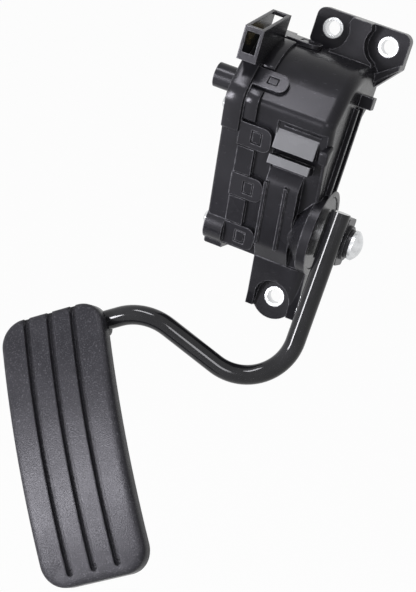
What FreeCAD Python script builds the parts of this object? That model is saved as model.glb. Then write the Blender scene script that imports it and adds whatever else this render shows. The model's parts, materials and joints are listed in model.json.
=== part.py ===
import FreeCAD, Part
import math
import os
import re
import Sketcher
from FreeCAD import Placement, Rotation, Vector

# Suspended accelerator pedal with its position sensor.
# The mounting plane is Y = 0 and the origin lies midway between the two upper bolts.
# +X is to the driver's right, +Y goes into the bulkhead and +Z is up.
# Depths count from the mounting plane towards the driver, drops count down from the upper bolts.

SIZES = {
    # Bolt pattern, flange and sleeves
    "bolt_spacing": 27,
    "bolt_drop": 126,
    "flange_thick": 6,
    "flange_width": 45,
    "flange_rise": 8,
    "flange_fall": 8,
    "flange_corner": 4,
    "flange_taper_left": 5.6,
    "flange_taper_right": 11.2,
    "gusset_thick": 2.5,
    "gusset_depth": 11,
    "web_top": 9,
    "web_base": 22,
    "web_depth": 13,
    "plateau_radius": 9.5,
    "sleeve_outer": 9.4,
    "sleeve_bore": 6.8,
    # Wedge-shaped housing
    "top_drop": 9,
    "crown_depth": 40,
    "crown_drop": 12,
    "crown_radius": 30,
    "nose_depth": 55.5,
    "nose_drop": 36,
    "nose_radius": 4,
    "front_run": 45.5,
    "front_fall": 91,
    "step_drop": 41,
    "step_deep": 1.2,
    "side_round": 5,
    "foot_drop": 127,
    "foot_tip": 8,
    "foot_bottom": 133,
    "foot_lobe": 10.6,
    "foot_pocket_radius": 8.5,
    "relief_depth": 10,
    "relief_top": 24,
    "relief_bottom": 106,
    "relief_radius": 5,
    "spine_left": 12,
    "spine_right": 13,
    "body_left": 28,
    "chamber_drop": 108,
    "wall": 2.6,
    "partition_thick": 5,
    "spring_room_top": 27,
    "spring_room_left": 9.5,
    "spring_room_right": 8,
    "screw_boss_radius": 3.6,
    "peg_side": 5.5,
    "peg_reach": 6,
    "peg_depth": 22,
    "peg_drop": 24.5,
    "side_rib_thick": 1.6,
    "side_rib_proud": 2.2,
    "side_rib_gap": 9,
    "side_rib_top": 28,
    "side_rib_bottom": 72,
    # Front clip and the fairing over the pivot
    "clip_left": 12,
    "clip_width": 19.5,
    "clip_drop": 45,
    "clip_height": 8.5,
    "lip_drop": 56.5,
    "lip_height": 4,
    "lip_proud": 5.5,
    "fairing_top": 62,
    "fairing_crest": 68,
    "fairing_low": 99,
    "fairing_end": 113,
    "fairing_proud": 3.8,
    "fairing_round": 8,
    "fairing_right": 4,
    "fairing_rib": 1.5,
    "fairing_rib_proud": 1.1,
    # Pivot and drum
    "pivot_depth": 22,
    "pivot_drop": 87,
    "drum_radius": 20,
    "drum_rim": 2.6,
    "drum_face": 15.4,
    "drum_recess": 3.4,
    "drum_plate_thick": 2.8,
    "boss_radius": 10.6,
    "flare_left": 4,
    "flare_round": 6,
    "drum_left": 11,
    "shaft_radius": 6.5,
    "shaft_end": 16.5,
    "tail_radius": 3,
    "tail_reach": 28.2,
    "bush_wall": 1.5,
    "running_gap": 0.05,
    "seat_gap": 0.02,
    "side_gap": 0.3,
    "thrust_thick": 1.2,
    "thrust_wall": 1.9,
    "circlip_thick": 1,
    "circlip_wall": 1.8,
    "circlip_groove": 0.6,
    # Spring lever, springs and stop
    "lever_hub_wall": 1.9,
    "lever_thick": 5,
    "lever_back": 16,
    "lever_top": 46,
    "pin_radius": 1.5,
    "spring_drop": 53.5,
    "spring_seat_depth": 38.9,
    "spring_seat_radius": 7.4,
    "outer_coil_radius": 6.1,
    "outer_wire": 1.5,
    "outer_turns": 4,
    "inner_coil_radius": 3.6,
    "inner_wire": 1.2,
    "inner_turns": 5,
    "bumper_thick": 3,
    "bumper_height": 8,
    "bumper_width": 11,
    # Sensor cover
    "cover_end": 37,
    "cover_wall": 2.5,
    "cover_nose_radius": 9,
    "band_round": 1.2,
    "tongue_thick": 2,
    "tongue_gap": 0.2,
    "tongue_width": 11,
    "tongue_margin": 2,
    "brow_tongue_width": 8.8,
    "tongue_pitch": 24.5,
    "tongue_drop": 46,
    "tongue_reach": 13,
    "tongue_round": 4,
    "window_left": 22.5,
    "window_width": 5,
    "window_height": 6,
    "hook_gap": 0.5,
    "rim_block_width": 8,
    "socket_width": 9,
    "socket_front": 61,
    "socket_back": 27,
    "socket_front_drop": 6,
    "socket_back_rise": 1,
    "socket_wall": 1.5,
    "socket_front_height": 15,
    "socket_sill": 2,
    "stub_radius": 5.6,
    "stub_length": 9.5,
    "stub_depth": 47,
    "stub_drop": 32,
    "screw_upper_depth": 47,
    "screw_upper_drop": 42,
    "screw_lower_depth": 19.5,
    "screw_lower_drop": 99,
    "lower_boss_radius": 9,
    "screw_radius": 1.5,
    "screw_head_radius": 3.2,
    "screw_head_height": 2,
    "screw_length": 19,
    # Seal, board, rotor and terminals
    "seal_thick": 1,
    "seal_width": 1.8,
    "board_thick": 1.6,
    "board_margin": 1.2,
    "board_gap": 0.6,
    "chip_side": 8,
    "chip_thick": 1.6,
    "chip_depth": 26,
    "chip_drop": 58,
    "rotor_radius": 4.3,
    "rotor_thick": 3,
    "terminal_count": 6,
    "terminal_pitch": 2.8,
    "terminal_side": 0.8,
    "terminal_first": 29.5,
    "terminal_top": 6,
    "terminal_bottom": 27,
    # Arm, rod and bolt
    "arm_lean_angle": 4.48,
    "block_thick": 10.5,
    "block_height": 22,
    "block_front": 6.6,
    "block_back": 7,
    "block_corner": 2,
    "rod_radius": 4.5,
    "rod_side": 23,
    "rod_top_rise": 13,
    "rod_corner_fall": 80.81,
    "rod_bend_radius": 23.01,
    "rod_end_run": 53.18,
    "washer_radius": 8,
    "washer_thick": 1.5,
    "lock_washer_radius": 6.6,
    "lock_washer_thick": 1.8,
    "bolt_radius": 4,
    "bolt_head_radius": 6.9,
    "bolt_rim": 1.4,
    "bolt_head_height": 4.6,
    "bolt_grip": 13,
    # Pad
    "pad_length": 123,
    "pad_width": 51.5,
    "pad_thick": 7,
    "pad_rise": 5.8,
    "pad_corner": 7,
    "pad_edge": 1.8,
    "pad_skin": 3,
    "pad_border": 2.6,
    "groove_width": 3.2,
    "groove_depth": 1.6,
    "groove_pitch": 11.8,
    "groove_end": 6,
    "pad_tilt_angle": 35.8,
    "pad_rake_angle": 15.4,
    "pad_side": 50,
    "pad_depth": 85,
    "pad_drop": 204.3,
    "pad_socket_rise": 52.5,
    "pad_socket_behind": 7.4,
    "pad_socket_wall": 2.6,
    "pad_socket_left": 10,
    "pad_socket_right": 23,
}

# Share of an even offset that moves the crown and nose corners along Y and Z
CROWN_MITRE = (0.57, 0.96)
NOSE_MITRE = (1.15, 0.06)

# Distance below which two places count as one
TOUCH = 0.01

doc = FreeCAD.newDocument("accelerator_pedal_sensor")
sheet = doc.addObject("Spreadsheet::Sheet", "sizes")
for row, (alias, size) in enumerate(SIZES.items(), start=1):
    sheet.set(f"A{row}", alias)
    sheet.set(f"B{row}", str(size))
    sheet.setAlias(f"B{row}", alias)
doc.recompute()

nodes = []
cuts = []


def bound(text):
    """Expression text with each size's name pointed at the sheet."""
    return re.sub(r"[a-z_]+", lambda word: f"sizes.{word[0]}" if word[0] in SIZES else word[0], text)


def number(text):
    """Value of an expression on the sheet's sizes."""
    return float(sheet.evalExpression(bound(text)))


def bind(item, expressions):
    """Tie properties of a document object to the sheet."""
    for path, text in expressions.items():
        item.setExpression(path, bound(text))
    return item


def keep(item, node):
    """Name a finished sub-part after its node."""
    item.Label = node
    nodes.append(item)
    return item


# Sketches and features

def new_body(node):
    return keep(doc.addObject("PartDesign::Body", node), node)


def sketch_on(body, name, role, offset="0"):
    plane = next(item for item in body.Origin.OriginFeatures if item.Role == role)
    sketch = body.newObject("Sketcher::SketchObject", name)
    sketch.AttachmentSupport = [(plane, "")]
    sketch.MapMode = "FlatFace"
    return bind(sketch, {"AttachmentOffset.Base.z": offset})


def constrain(sketch, rules):
    """Add constraints, tying those that carry an expression to the sheet."""
    for rule, text in rules:
        index = sketch.addConstraint(rule)
        if text is not None:
            sketch.setExpression(f"Constraints[{index}]", bound(text))


def place_rules(geometry, vertex, x, y):
    """Rules that hold a vertex at x, y from the sketch origin."""
    return [
        (Sketcher.Constraint("DistanceX", -1, 1, geometry, vertex, number(x)), x),
        (Sketcher.Constraint("DistanceY", -1, 1, geometry, vertex, number(y)), y),
    ]


def outline(sketch, corners):
    """Closed outline through corners given as (x, y) or (x, y, rounding radius)."""
    points = [Vector(number(corner[0]), number(corner[1]), 0) for corner in corners]
    radii = [number(corner[2]) if len(corner) > 2 else 0 for corner in corners]
    count = len(corners)
    into = [(points[i] - points[i - 1]).normalize() for i in range(count)]
    starts, ends, turns = [], [], []
    for i, point in enumerate(points):
        away = into[(i + 1) % count]
        turn = math.atan2(into[i].x * away.y - into[i].y * away.x, into[i].dot(away))
        setback = radii[i] * math.tan(abs(turn) / 2)
        starts.append(point - into[i] * setback)
        ends.append(point + away * setback)
        turns.append(turn)
    lines = [sketch.addGeometry(Part.LineSegment(ends[i], starts[(i + 1) % count])) for i in range(count)]
    rules = []
    for i, corner in enumerate(corners):
        before, after = lines[i - 1], lines[i]
        if not radii[i]:
            rules.append((Sketcher.Constraint("Coincident", before, 2, after, 1), None))
            rules += place_rules(after, 1, corner[0], corner[1])
            continue
        side = math.copysign(1, turns[i])
        centre = starts[i] + Vector(-into[i].y, into[i].x, 0) * side * radii[i]
        begin = math.atan2(*(starts[i] - centre)[1::-1])
        finish = math.atan2(*(ends[i] - centre)[1::-1])
        rounding = Part.Circle(centre, Vector(0, 0, 1), radii[i])
        angles = (begin, finish) if side > 0 else (finish, begin)
        arc = sketch.addGeometry(Part.ArcOfCircle(rounding, *angles))
        first, last = (1, 2) if side > 0 else (2, 1)
        tip = sketch.addGeometry(Part.Point(points[i]), True)
        rules += place_rules(tip, 1, corner[0], corner[1])
        rules.append((Sketcher.Constraint("PointOnObject", tip, 1, before), None))
        rules.append((Sketcher.Constraint("PointOnObject", tip, 1, after), None))
        rules.append((Sketcher.Constraint("Tangent", before, 2, arc, first), None))
        rules.append((Sketcher.Constraint("Tangent", arc, last, after, 1), None))
        rules.append((Sketcher.Constraint("Radius", arc, radii[i]), corner[2]))
    constrain(sketch, rules)
    return sketch


def circle(sketch, x, y, radius):
    ring = Part.Circle(Vector(number(x), number(y), 0), Vector(0, 0, 1), number(radius))
    index = sketch.addGeometry(ring)
    size = (Sketcher.Constraint("Radius", index, number(radius)), radius)
    constrain(sketch, place_rules(index, 3, x, y) + [size])
    return sketch


def pad(body, sketch, length, back=False):
    feature = body.newObject("PartDesign::Pad", sketch.Name + "_pad")
    feature.Profile = sketch
    feature.Reversed = back
    return bind(feature, {"Length": length})


def pocket(body, sketch, length, back=False):
    """Cut against the sketch's normal, or along it where back is set."""
    feature = body.newObject("PartDesign::Pocket", sketch.Name + "_pocket")
    feature.Profile = sketch
    feature.Reversed = back
    cuts.append(feature)
    return bind(feature, {"Length": length})


def slice_x(body, name, left, corners):
    """Sketch of a side outline (Y, Z) at the given X."""
    return outline(sketch_on(body, name, "YZ_Plane", left), corners)


def pad_x(body, name, left, right, corners):
    return pad(body, slice_x(body, name, left, corners), f"({right}) - ({left})")


def pocket_x(body, name, left, right, corners):
    return pocket(body, slice_x(body, name, left, corners), f"({right}) - ({left})", back=True)


def ring_x(body, name, left, y, z, radius):
    return circle(sketch_on(body, name, "YZ_Plane", left), y, z, radius)


def boss_x(body, name, left, right, y, z, radius):
    return pad(body, ring_x(body, name, left, y, z, radius), f"({right}) - ({left})")


def bore_x(body, name, left, right, y, z, radius):
    return pocket(body, ring_x(body, name, left, y, z, radius), f"({right}) - ({left})", back=True)


# Turned pieces and blocks from primitives

ABOUT_X = Rotation(Vector(0, 1, 0), 90)
ABOUT_Y = Rotation(Vector(1, 0, 0), 90)


def primitive(kind, name, sizes, base, turn=Rotation()):
    item = doc.addObject(kind, name)
    item.Placement = Placement(Vector(), turn)
    place = {f"Placement.Base.{axis}": text for axis, text in zip("xyz", base)}
    return bind(item, {**sizes, **place})


def cylinder_x(name, left, right, y, z, radius):
    return primitive("Part::Cylinder", name, {"Radius": radius, "Height": f"({right}) - ({left})"},
                     (left, y, z), ABOUT_X)


def box(name, low, high):
    spans = {side: f"({b}) - ({a})" for side, a, b in zip(("Length", "Width", "Height"), low, high)}
    return primitive("Part::Box", name, spans, low)


def cut(name, base, tools):
    """Base with each tool taken away in turn."""
    for count, tool in enumerate(tools):
        result = doc.addObject("Part::Cut", f"{name}_{count}")
        result.Base = base
        result.Tool = tool
        base = result
    return base


def fuse(name, pieces):
    result = doc.addObject("Part::MultiFuse", name)
    result.Shapes = pieces
    return result


def group(node, pieces):
    """Separate identical solids under one node."""
    result = doc.addObject("Part::Compound", node)
    result.Links = pieces
    return keep(result, node)


def tube_x(name, left, right, y, z, outer, inner):
    solid = cylinder_x(name + "_outside", left, right, y, z, outer)
    hole = cylinder_x(name + "_bore", left, right, y, z, inner)
    return cut(name, solid, [hole])


# Shared places

PIVOT = ("-pivot_depth", "-pivot_drop")
SLOPE = "(front_run / front_fall)"
BROW = "sqrt((nose_depth - crown_depth)^2 + (nose_drop - crown_drop)^2)"
SCREWS = {
    "upper": ("-screw_upper_depth", "-screw_upper_drop"),
    "lower": ("-screw_lower_depth", "-screw_lower_drop"),
}
PARTITION_LEFT = "-(spring_room_left + partition_thick)"
DRUM_FLOOR = "drum_face - drum_recess"
FRONT_BASE = "-(step_deep + wall / 2)"
COVER_OUT = "(tongue_thick + tongue_gap)"
COVER_LEDGE = "-(body_left + seal_thick)"
HOLES = (("-bolt_spacing / 2", "0"), ("bolt_spacing / 2", "0"), ("0", "-bolt_drop"))
BOW = "(((pad_length / 2)^2 + pad_rise^2) / (2 * pad_rise))"
LEVER_HUB = "shaft_radius + lever_hub_wall"
SPRING_MIDDLE = "(spring_room_right - spring_room_left) / 2"
BOARD_RIGHT = "-(body_left + seal_thick + board_gap)"
BOARD_LEFT = BOARD_RIGHT + " - board_thick"


def on_front(drop, out="0"):
    """Point of the sloping front at a drop, moved out square to the slope."""
    lean = f"sqrt(1 + {SLOPE}^2)"
    y = f"-nose_depth + {SLOPE} * (({drop}) - nose_drop) - ({out}) / {lean}"
    z = f"-({drop}) - ({out}) * {SLOPE} / {lean}"
    return y, z


def on_brow(along, out="0"):
    """Point of the flat between crown and nose, measured up from the nose and out."""
    y = f"-nose_depth + (({along}) * (nose_depth - crown_depth) - ({out}) * (nose_drop - crown_drop)) / {BROW}"
    z = f"-nose_drop + (({along}) * (nose_drop - crown_drop) + ({out}) * (nose_depth - crown_depth)) / {BROW}"
    return y, z


def on_top(depth, out="0"):
    """Point of the nearly level top at a depth, moved up."""
    return f"-({depth})", f"-top_drop - (crown_drop - top_drop) * ({depth}) / crown_depth + ({out})"


def patch(place, first, last, out, base="0"):
    """Four corners of a raised patch on one of the outer surfaces."""
    return [place(first, base), place(first, out), place(last, out), place(last, base)]


def crown(out):
    y = f"-crown_depth - {CROWN_MITRE[0]} * ({out})"
    z = f"-crown_drop + {CROWN_MITRE[1]} * ({out})"
    return y, z, f"crown_radius + ({out})"


def nose(out, radius):
    y = f"-nose_depth - {NOSE_MITRE[0]} * ({out})"
    z = f"-nose_drop + {NOSE_MITRE[1]} * ({out})"
    return y, z, radius


def chamber(out, nose_radius):
    """Outline of the sensor end, moved outward evenly."""
    back = f"-relief_depth + ({out})"
    floor = f"-chamber_drop - ({out})"
    return [
        (back, on_top("relief_depth", out)[1]),
        crown(out),
        nose(out, nose_radius),
        (on_front(f"chamber_drop + ({out})", out)[0], floor),
        (back, floor),
    ]


def tongue_drops():
    """First and last drop of each snap tongue on the front."""
    return [(f"tongue_drop + {k} * tongue_pitch", f"tongue_drop + {k} * tongue_pitch + tongue_width")
            for k in range(3)]


def tongue_patches(out, base, inset="0"):
    """Side outlines of the five snap tongues, or of their middles where inset is set."""
    middle = "(nose_radius + (tongue_margin + tongue_width) / 2)"
    half = f"(brow_tongue_width / 2 - ({inset}))"
    shapes = [patch(on_front, f"{a} + ({inset})", f"{b} - ({inset})", out, base) for a, b in tongue_drops()]
    shapes.append(patch(on_brow, f"{middle} - {half}", f"{middle} + {half}", out, base))
    shapes.append(patch(on_top, f"relief_depth + tongue_margin + ({inset})",
                        f"relief_depth + tongue_margin + tongue_width - ({inset})", out, base))
    return shapes


# Housing

def make_housing():
    body = new_body("housing")
    left, right = "-spine_left", "spine_right"
    spine = pad_x(body, "spine", left, right, [
        ("0", "-top_drop"),
        crown("0"),
        nose("0", "nose_radius"),
        on_front("foot_drop"),
        ("-foot_tip", "-foot_bottom"),
        ("0", "-foot_bottom"),
        ("0", "-relief_bottom"),
        ("-relief_depth", "-relief_bottom + relief_depth", "relief_radius"),
        ("-relief_depth", "-relief_top - relief_depth", "relief_radius"),
        ("0", "-relief_top"),
    ])
    round_edges(body, spine, "spine_side", "side_round", spine_side_edges)
    pad_x(body, "sensor_end", "-body_left", left, chamber("0", "nose_radius"))
    flange = outline(sketch_on(body, "flange", "XZ_Plane"), [
        ("-flange_width / 2", "flange_rise", "flange_corner"),
        ("flange_width / 2", "flange_rise", "flange_corner"),
        ("flange_width / 2", "-flange_fall", "flange_corner / 2"),
        ("spine_right", "-flange_fall - flange_taper_right"),
        ("-spine_left", "-flange_fall - flange_taper_left"),
        ("-flange_width / 2", "-flange_fall", "flange_corner / 2"),
    ])
    pad(body, flange, "flange_thick")
    gusset = outline(sketch_on(body, "gusset", "XZ_Plane"), [
        ("spine_right - wall", "-flange_fall - flange_taper_right"),
        ("flange_width / 2", "-flange_fall"),
        ("flange_width / 2", "-flange_fall + gusset_thick"),
        ("spine_right - wall", "-flange_fall - flange_taper_right + 2 * gusset_thick"),
    ])
    pad(body, gusset, "gusset_depth")
    web = outline(sketch_on(body, "web", "XZ_Plane"), [
        ("-web_top / 2", "flange_rise"),
        ("web_top / 2", "flange_rise"),
        ("web_base / 2", "-crown_drop"),
        ("-web_base / 2", "-crown_drop"),
    ])
    pad(body, web, "web_depth")
    plateaus = sketch_on(body, "plateaus", "XZ_Plane", "flange_thick")
    for x, z in HOLES[:2]:
        circle(plateaus, x, z, "plateau_radius")
    pocket(body, plateaus, "web_depth + flange_thick", back=True)
    make_front(body)
    make_spring_room(body)
    make_sensor_room(body)
    make_pivot_seats(body)
    make_foot(body)
    holes = sketch_on(body, "sleeve_holes", "XZ_Plane")
    for x, z in HOLES:
        circle(holes, x, z, "sleeve_outer / 2 + seat_gap")
    pocket(body, holes, "2 * flange_thick", back=True)
    make_snap_hooks(body)


def make_front(body):
    """Stepped front with a cable clip and a fairing over the pivot, and the right side's peg and ribs."""
    left, right = "-spine_left", "spine_right"
    pocket_x(body, "front_step", left, right, patch(on_front, "step_drop", "chamber_drop", "wall", "-step_deep"))
    clip_right = "-clip_left + clip_width"
    clip_y = on_front("clip_drop", "-step_deep")[0]
    pad_x(body, "clip_face", "-clip_left", clip_right, [
        on_front("clip_drop", FRONT_BASE),
        (clip_y, "-clip_drop"),
        (clip_y, "-clip_drop - clip_height"),
        (on_front("clip_drop + clip_height", FRONT_BASE)[0], "-clip_drop - clip_height"),
    ])
    lip_y = f"{on_front('lip_drop')[0]} - lip_proud"
    pad_x(body, "clip_lip", "-clip_left", clip_right, [
        (on_front("lip_drop", FRONT_BASE)[0], "-lip_drop"),
        (lip_y, "-lip_drop"),
        (lip_y, "-lip_drop - lip_height"),
        (on_front("lip_drop + lip_height", FRONT_BASE)[0], "-lip_drop - lip_height"),
    ])
    pad_x(body, "fairing", left, "fairing_right", [
        on_front("fairing_top", FRONT_BASE),
        (*on_front("fairing_crest", "fairing_proud"), "fairing_round"),
        (*on_front("fairing_low", "fairing_proud"), "fairing_round"),
        on_front("fairing_end", FRONT_BASE),
    ])
    for name, start in (("left_rib", left), ("middle_rib", f"({left} + fairing_right) / 2 + fairing_rib")):
        pad_x(body, name, start, f"{start} + fairing_rib",
              patch(on_front, "fairing_crest", "fairing_low", "fairing_proud + fairing_rib_proud"))
    pad_x(body, "peg", "spine_right - wall", "spine_right + peg_reach", [
        ("-peg_depth - peg_side / 2", "-peg_drop + peg_side / 2"),
        ("-peg_depth - peg_side / 2", "-peg_drop - peg_side / 2"),
        ("-peg_depth + peg_side / 2", "-peg_drop - peg_side / 2"),
        ("-peg_depth + peg_side / 2", "-peg_drop + peg_side / 2"),
    ])
    for count in range(2):
        back = f"-(peg_depth - peg_side / 2 + {count} * side_rib_gap)"
        front = f"{back} - side_rib_thick"
        pad_x(body, f"side_rib_{count}", "spine_right - wall", "spine_right + side_rib_proud", [
            (front, "-side_rib_top"),
            (front, "-side_rib_bottom"),
            (back, "-side_rib_bottom"),
            (back, "-side_rib_top"),
        ])
    make_drum(body)


def make_drum(body):
    """Pivot boss that flares out to the drum, turned about the pivot."""
    level = "-pivot_depth"
    sketch = outline(sketch_on(body, "drum", "XY_Plane", "-pivot_drop"), [
        ("-spine_left", level),
        ("-spine_left", f"{level} - boss_radius"),
        ("flare_left", f"{level} - boss_radius", "flare_round"),
        ("drum_left", f"{level} - drum_radius"),
        ("drum_face", f"{level} - drum_radius"),
        ("drum_face", level),
    ])
    ends = [Vector(number(x), number(level), 0) for x in ("-spine_left", "drum_face")]
    axis = sketch.addGeometry(Part.LineSegment(*ends), True)
    constrain(sketch, place_rules(axis, 1, "-spine_left", level) + place_rules(axis, 2, "drum_face", level))
    turned = body.newObject("PartDesign::Revolution", "drum_turned")
    turned.Profile = sketch
    turned.ReferenceAxis = (sketch, ["Axis0"])
    turned.Angle = 360


def make_spring_room(body):
    """Room for the lever and springs, open at the back, with a cross bar and a spring seat."""
    left, right = "-spring_room_left", "spring_room_right"
    pocket_x(body, "spring_room", left, right, [
        ("-relief_depth + 2 * wall", "-spring_room_top"),
        ("-crown_depth", "-spring_room_top"),
        on_front("nose_drop + 2 * wall", "-wall - step_deep"),
        on_front("relief_bottom - wall", "-wall - step_deep"),
        ("-relief_depth + 2 * wall", "-relief_bottom + wall"),
    ])
    bore_x(body, "lever_room", left, right, *PIVOT, f"{LEVER_HUB} + side_gap")
    bar = outline(sketch_on(body, "stop_bar", "XZ_Plane", "relief_depth"), [
        (left, "-spring_drop + bumper_height / 2"),
        (right, "-spring_drop + bumper_height / 2"),
        (right, "-spring_drop - bumper_height / 2"),
        (left, "-spring_drop - bumper_height / 2"),
    ])
    pad(body, bar, "lever_back - bumper_thick - relief_depth")
    seat_top = "spring_drop - spring_seat_radius"
    seat_bottom = "spring_drop + spring_seat_radius"
    pad_x(body, "spring_seat", f"{SPRING_MIDDLE} - spring_seat_radius", f"{SPRING_MIDDLE} + spring_seat_radius", [
        ("-spring_seat_depth", f"-({seat_top})"),
        (on_front(seat_top, FRONT_BASE)[0], f"-({seat_top})"),
        (on_front(seat_bottom, FRONT_BASE)[0], f"-({seat_bottom})"),
        ("-spring_seat_depth", f"-({seat_bottom})"),
    ])


def make_sensor_room(body):
    """Hollow left end that the cover closes, with two screw bosses."""
    pocket_x(body, "sensor_room", "-body_left", PARTITION_LEFT, chamber("-wall", "nose_radius / 2"))
    for name, (y, z) in SCREWS.items():
        boss_x(body, name + "_boss", "-body_left", PARTITION_LEFT, y, z, "screw_boss_radius")
        bore_x(body, name + "_screw_hole", "-body_left", PARTITION_LEFT, y, z, "screw_radius + seat_gap")


def make_pivot_seats(body):
    """Bush seats in both walls and the recess inside the drum rim."""
    bore_x(body, "left_bush_seat", PARTITION_LEFT, "-spring_room_left", *PIVOT,
           "tail_radius + bush_wall + seat_gap")
    bore_x(body, "right_bush_seat", "spring_room_right", "drum_face", *PIVOT,
           "shaft_radius + bush_wall + seat_gap")
    bore_x(body, "drum_recess_cut", DRUM_FLOOR, "drum_face", *PIVOT, "drum_radius - drum_rim")


def make_foot(body):
    """Rounded lobe and open pocket round the lower sleeve."""
    lobe = circle(sketch_on(body, "lobe", "XZ_Plane"), "0", "-bolt_drop", "foot_lobe")
    pad(body, lobe, "flange_thick")
    spot = circle(sketch_on(body, "foot_spot", "XZ_Plane", "flange_thick"),
                  "0", "-bolt_drop", "foot_pocket_radius")
    pocket(body, spot, "nose_depth", back=True)
    slot = outline(sketch_on(body, "foot_slot", "XZ_Plane", "flange_thick"), [
        ("-foot_pocket_radius", "-bolt_drop"),
        ("foot_pocket_radius", "-bolt_drop"),
        ("foot_pocket_radius", "-bolt_drop - 2 * foot_pocket_radius"),
        ("-foot_pocket_radius", "-bolt_drop - 2 * foot_pocket_radius"),
    ])
    pocket(body, slot, "nose_depth", back=True)


def make_snap_hooks(body):
    """Hooks that hold the snap tongues and the rim blocks that stand between them."""
    inset = "((tongue_width - window_height) / 2 + hook_gap)"
    for count, corners in enumerate(tongue_patches("tongue_thick", "-tongue_gap", inset)):
        pad_x(body, f"hook_{count}", "-window_left + hook_gap",
              "-window_left + window_width - hook_gap", corners)
    spans = [(f"{a[1]} + hook_gap", f"{b[0]} - hook_gap") for a, b in zip(tongue_drops(), tongue_drops()[1:])]
    for count, (first, last) in enumerate(spans):
        pad_x(body, f"rim_block_{count}", "-body_left", "-body_left + rim_block_width",
              patch(on_front, first, last, COVER_OUT, "-tongue_gap"))


# Sensor cover

def make_cover():
    body = new_body("sensor_cover")
    band = pad_x(body, "band", "-cover_end", "-body_left", chamber(COVER_OUT, "cover_nose_radius"))
    round_edges(body, band, "band_edge", "band_round", band_end_edges)
    make_socket(body)
    boss_x(body, "stub", "-cover_end - stub_length", "-cover_end", "-stub_depth", "-stub_drop", "stub_radius")
    boss_x(body, "lower_boss", "-cover_end", "-body_left", *SCREWS["lower"], "lower_boss_radius")
    pocket_x(body, "hollow", "-cover_end + cover_wall", "-body_left", chamber("-cover_wall", "nose_radius"))
    pocket_x(body, "seal_rebate", COVER_LEDGE, "-body_left", chamber("0", "nose_radius"))
    for name, (y, z) in SCREWS.items():
        boss_x(body, name + "_post", "-cover_end", COVER_LEDGE, y, z, "screw_boss_radius")
        bore_x(body, name + "_screw_way", "-cover_end", "-body_left", y, z, "screw_radius + running_gap")
    for count, corners in enumerate(tongue_patches(COVER_OUT, "tongue_gap")):
        last = pad_x(body, f"tongue_{count}", "-body_left - seal_thick / 2", "-tongue_reach", corners)
    round_edges(body, last, "tongue_ends", "tongue_round", tongue_end_edges)
    inset = "((tongue_width - window_height) / 2)"
    for count, corners in enumerate(tongue_patches(f"{COVER_OUT} + wall", "-tongue_gap", inset)):
        pocket_x(body, f"window_{count}", "-window_left", "-window_left + window_width", corners)
    ways = sketch_on(body, "terminal_ways", "XY_Plane", "-terminal_bottom")
    for k in range(int(SIZES["terminal_count"])):
        low, high = terminal_span(k, "running_gap")
        outline(ways, [(low[0], low[1]), (high[0], low[1]), (high[0], high[1]), (low[0], high[1])])
    pocket(body, ways, "terminal_bottom", back=True)


def make_socket(body):
    """Plug socket on the cover's crown, open at the top, with a window in each end."""
    left, right = "-cover_end", "-cover_end + socket_width"
    front_floor = "-socket_front_drop - socket_front_height"
    pad_x(body, "socket", left, right, [
        ("-socket_front", "-socket_front_drop"),
        ("-socket_front + socket_wall", front_floor),
        ("-crown_depth", front_floor),
        ("-socket_back", "-crown_drop"),
        ("-socket_back", "socket_back_rise"),
    ])
    floor = "-crown_drop + cover_wall"
    pocket_x(body, "socket_hollow", f"{left} + socket_wall", f"{right} - socket_wall", [
        ("-socket_front + socket_wall", "socket_back_rise"),
        ("-socket_front + 2 * socket_wall", f"{front_floor} + socket_wall"),
        ("-crown_depth - 3 * cover_wall", f"{front_floor} + socket_wall"),
        ("-crown_depth + cover_wall", floor),
        ("-socket_back - socket_wall", floor),
        ("-socket_back - socket_wall", "socket_back_rise"),
    ])
    jambs = (f"{left} + socket_wall", f"{right} - socket_wall")
    openings = (("front_window", "socket_front - 2 * socket_wall", "2 * socket_wall + wall",
                 "-socket_front_drop - socket_sill", f"{front_floor} + socket_wall + socket_sill"),
                ("back_window", "socket_back - wall", "socket_wall + 2 * wall", "socket_back_rise - socket_sill", floor))
    for name, start, length, top, bottom in openings:
        opening = outline(sketch_on(body, name, "XZ_Plane", start), [
            (jambs[0], top),
            (jambs[1], top),
            (jambs[1], bottom),
            (jambs[0], bottom),
        ])
        pocket(body, opening, length, back=True)


def terminal_span(k, margin):
    """Low and high corners (X, Y) of one upright terminal."""
    x = "(-cover_end + socket_width / 2)"
    y = f"(-terminal_first - {k} * terminal_pitch)"
    half = f"(terminal_side / 2 + {margin})"
    return (f"{x} - {half}", f"{y} - {half}"), (f"{x} + {half}", f"{y} + {half}")


def make_terminals():
    """Bent terminals from the board up into the socket."""
    pieces = []
    for k in range(int(SIZES["terminal_count"])):
        low, high = terminal_span(k, "0")
        upright = box(f"terminal_{k}_upright", (*low, "-terminal_bottom"), (*high, "-terminal_top"))
        foot = box(f"terminal_{k}_foot", (low[0], low[1], "-terminal_bottom - terminal_side"),
                   (BOARD_LEFT, high[1], "-terminal_bottom"))
        pieces.append(fuse(f"terminal_{k}", [upright, foot]))
    group("connector_pins", pieces)


def make_seal():
    body = new_body("cover_seal")
    pad_x(body, "seal", COVER_LEDGE, "-body_left", chamber("-running_gap", "nose_radius"))
    pocket_x(body, "seal_opening", COVER_LEDGE, "-body_left", chamber("-seal_width", "nose_radius / 2"))


def make_board():
    body = new_body("sensor_board")
    pad_x(body, "board", BOARD_LEFT, BOARD_RIGHT, chamber("-cover_wall - board_margin", "nose_radius / 2"))
    for name, (y, z) in SCREWS.items():
        bore_x(body, name + "_clear", BOARD_LEFT, BOARD_RIGHT, y, z, "screw_boss_radius + running_gap")
    chip = box("signal_chip", (BOARD_RIGHT, "-chip_depth - chip_side / 2", "-chip_drop - chip_side / 2"),
               (f"{BOARD_RIGHT} + chip_thick", "-chip_depth + chip_side / 2", "-chip_drop + chip_side / 2"))
    keep(chip, "signal_chip")


# Fasteners and sleeves

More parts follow.
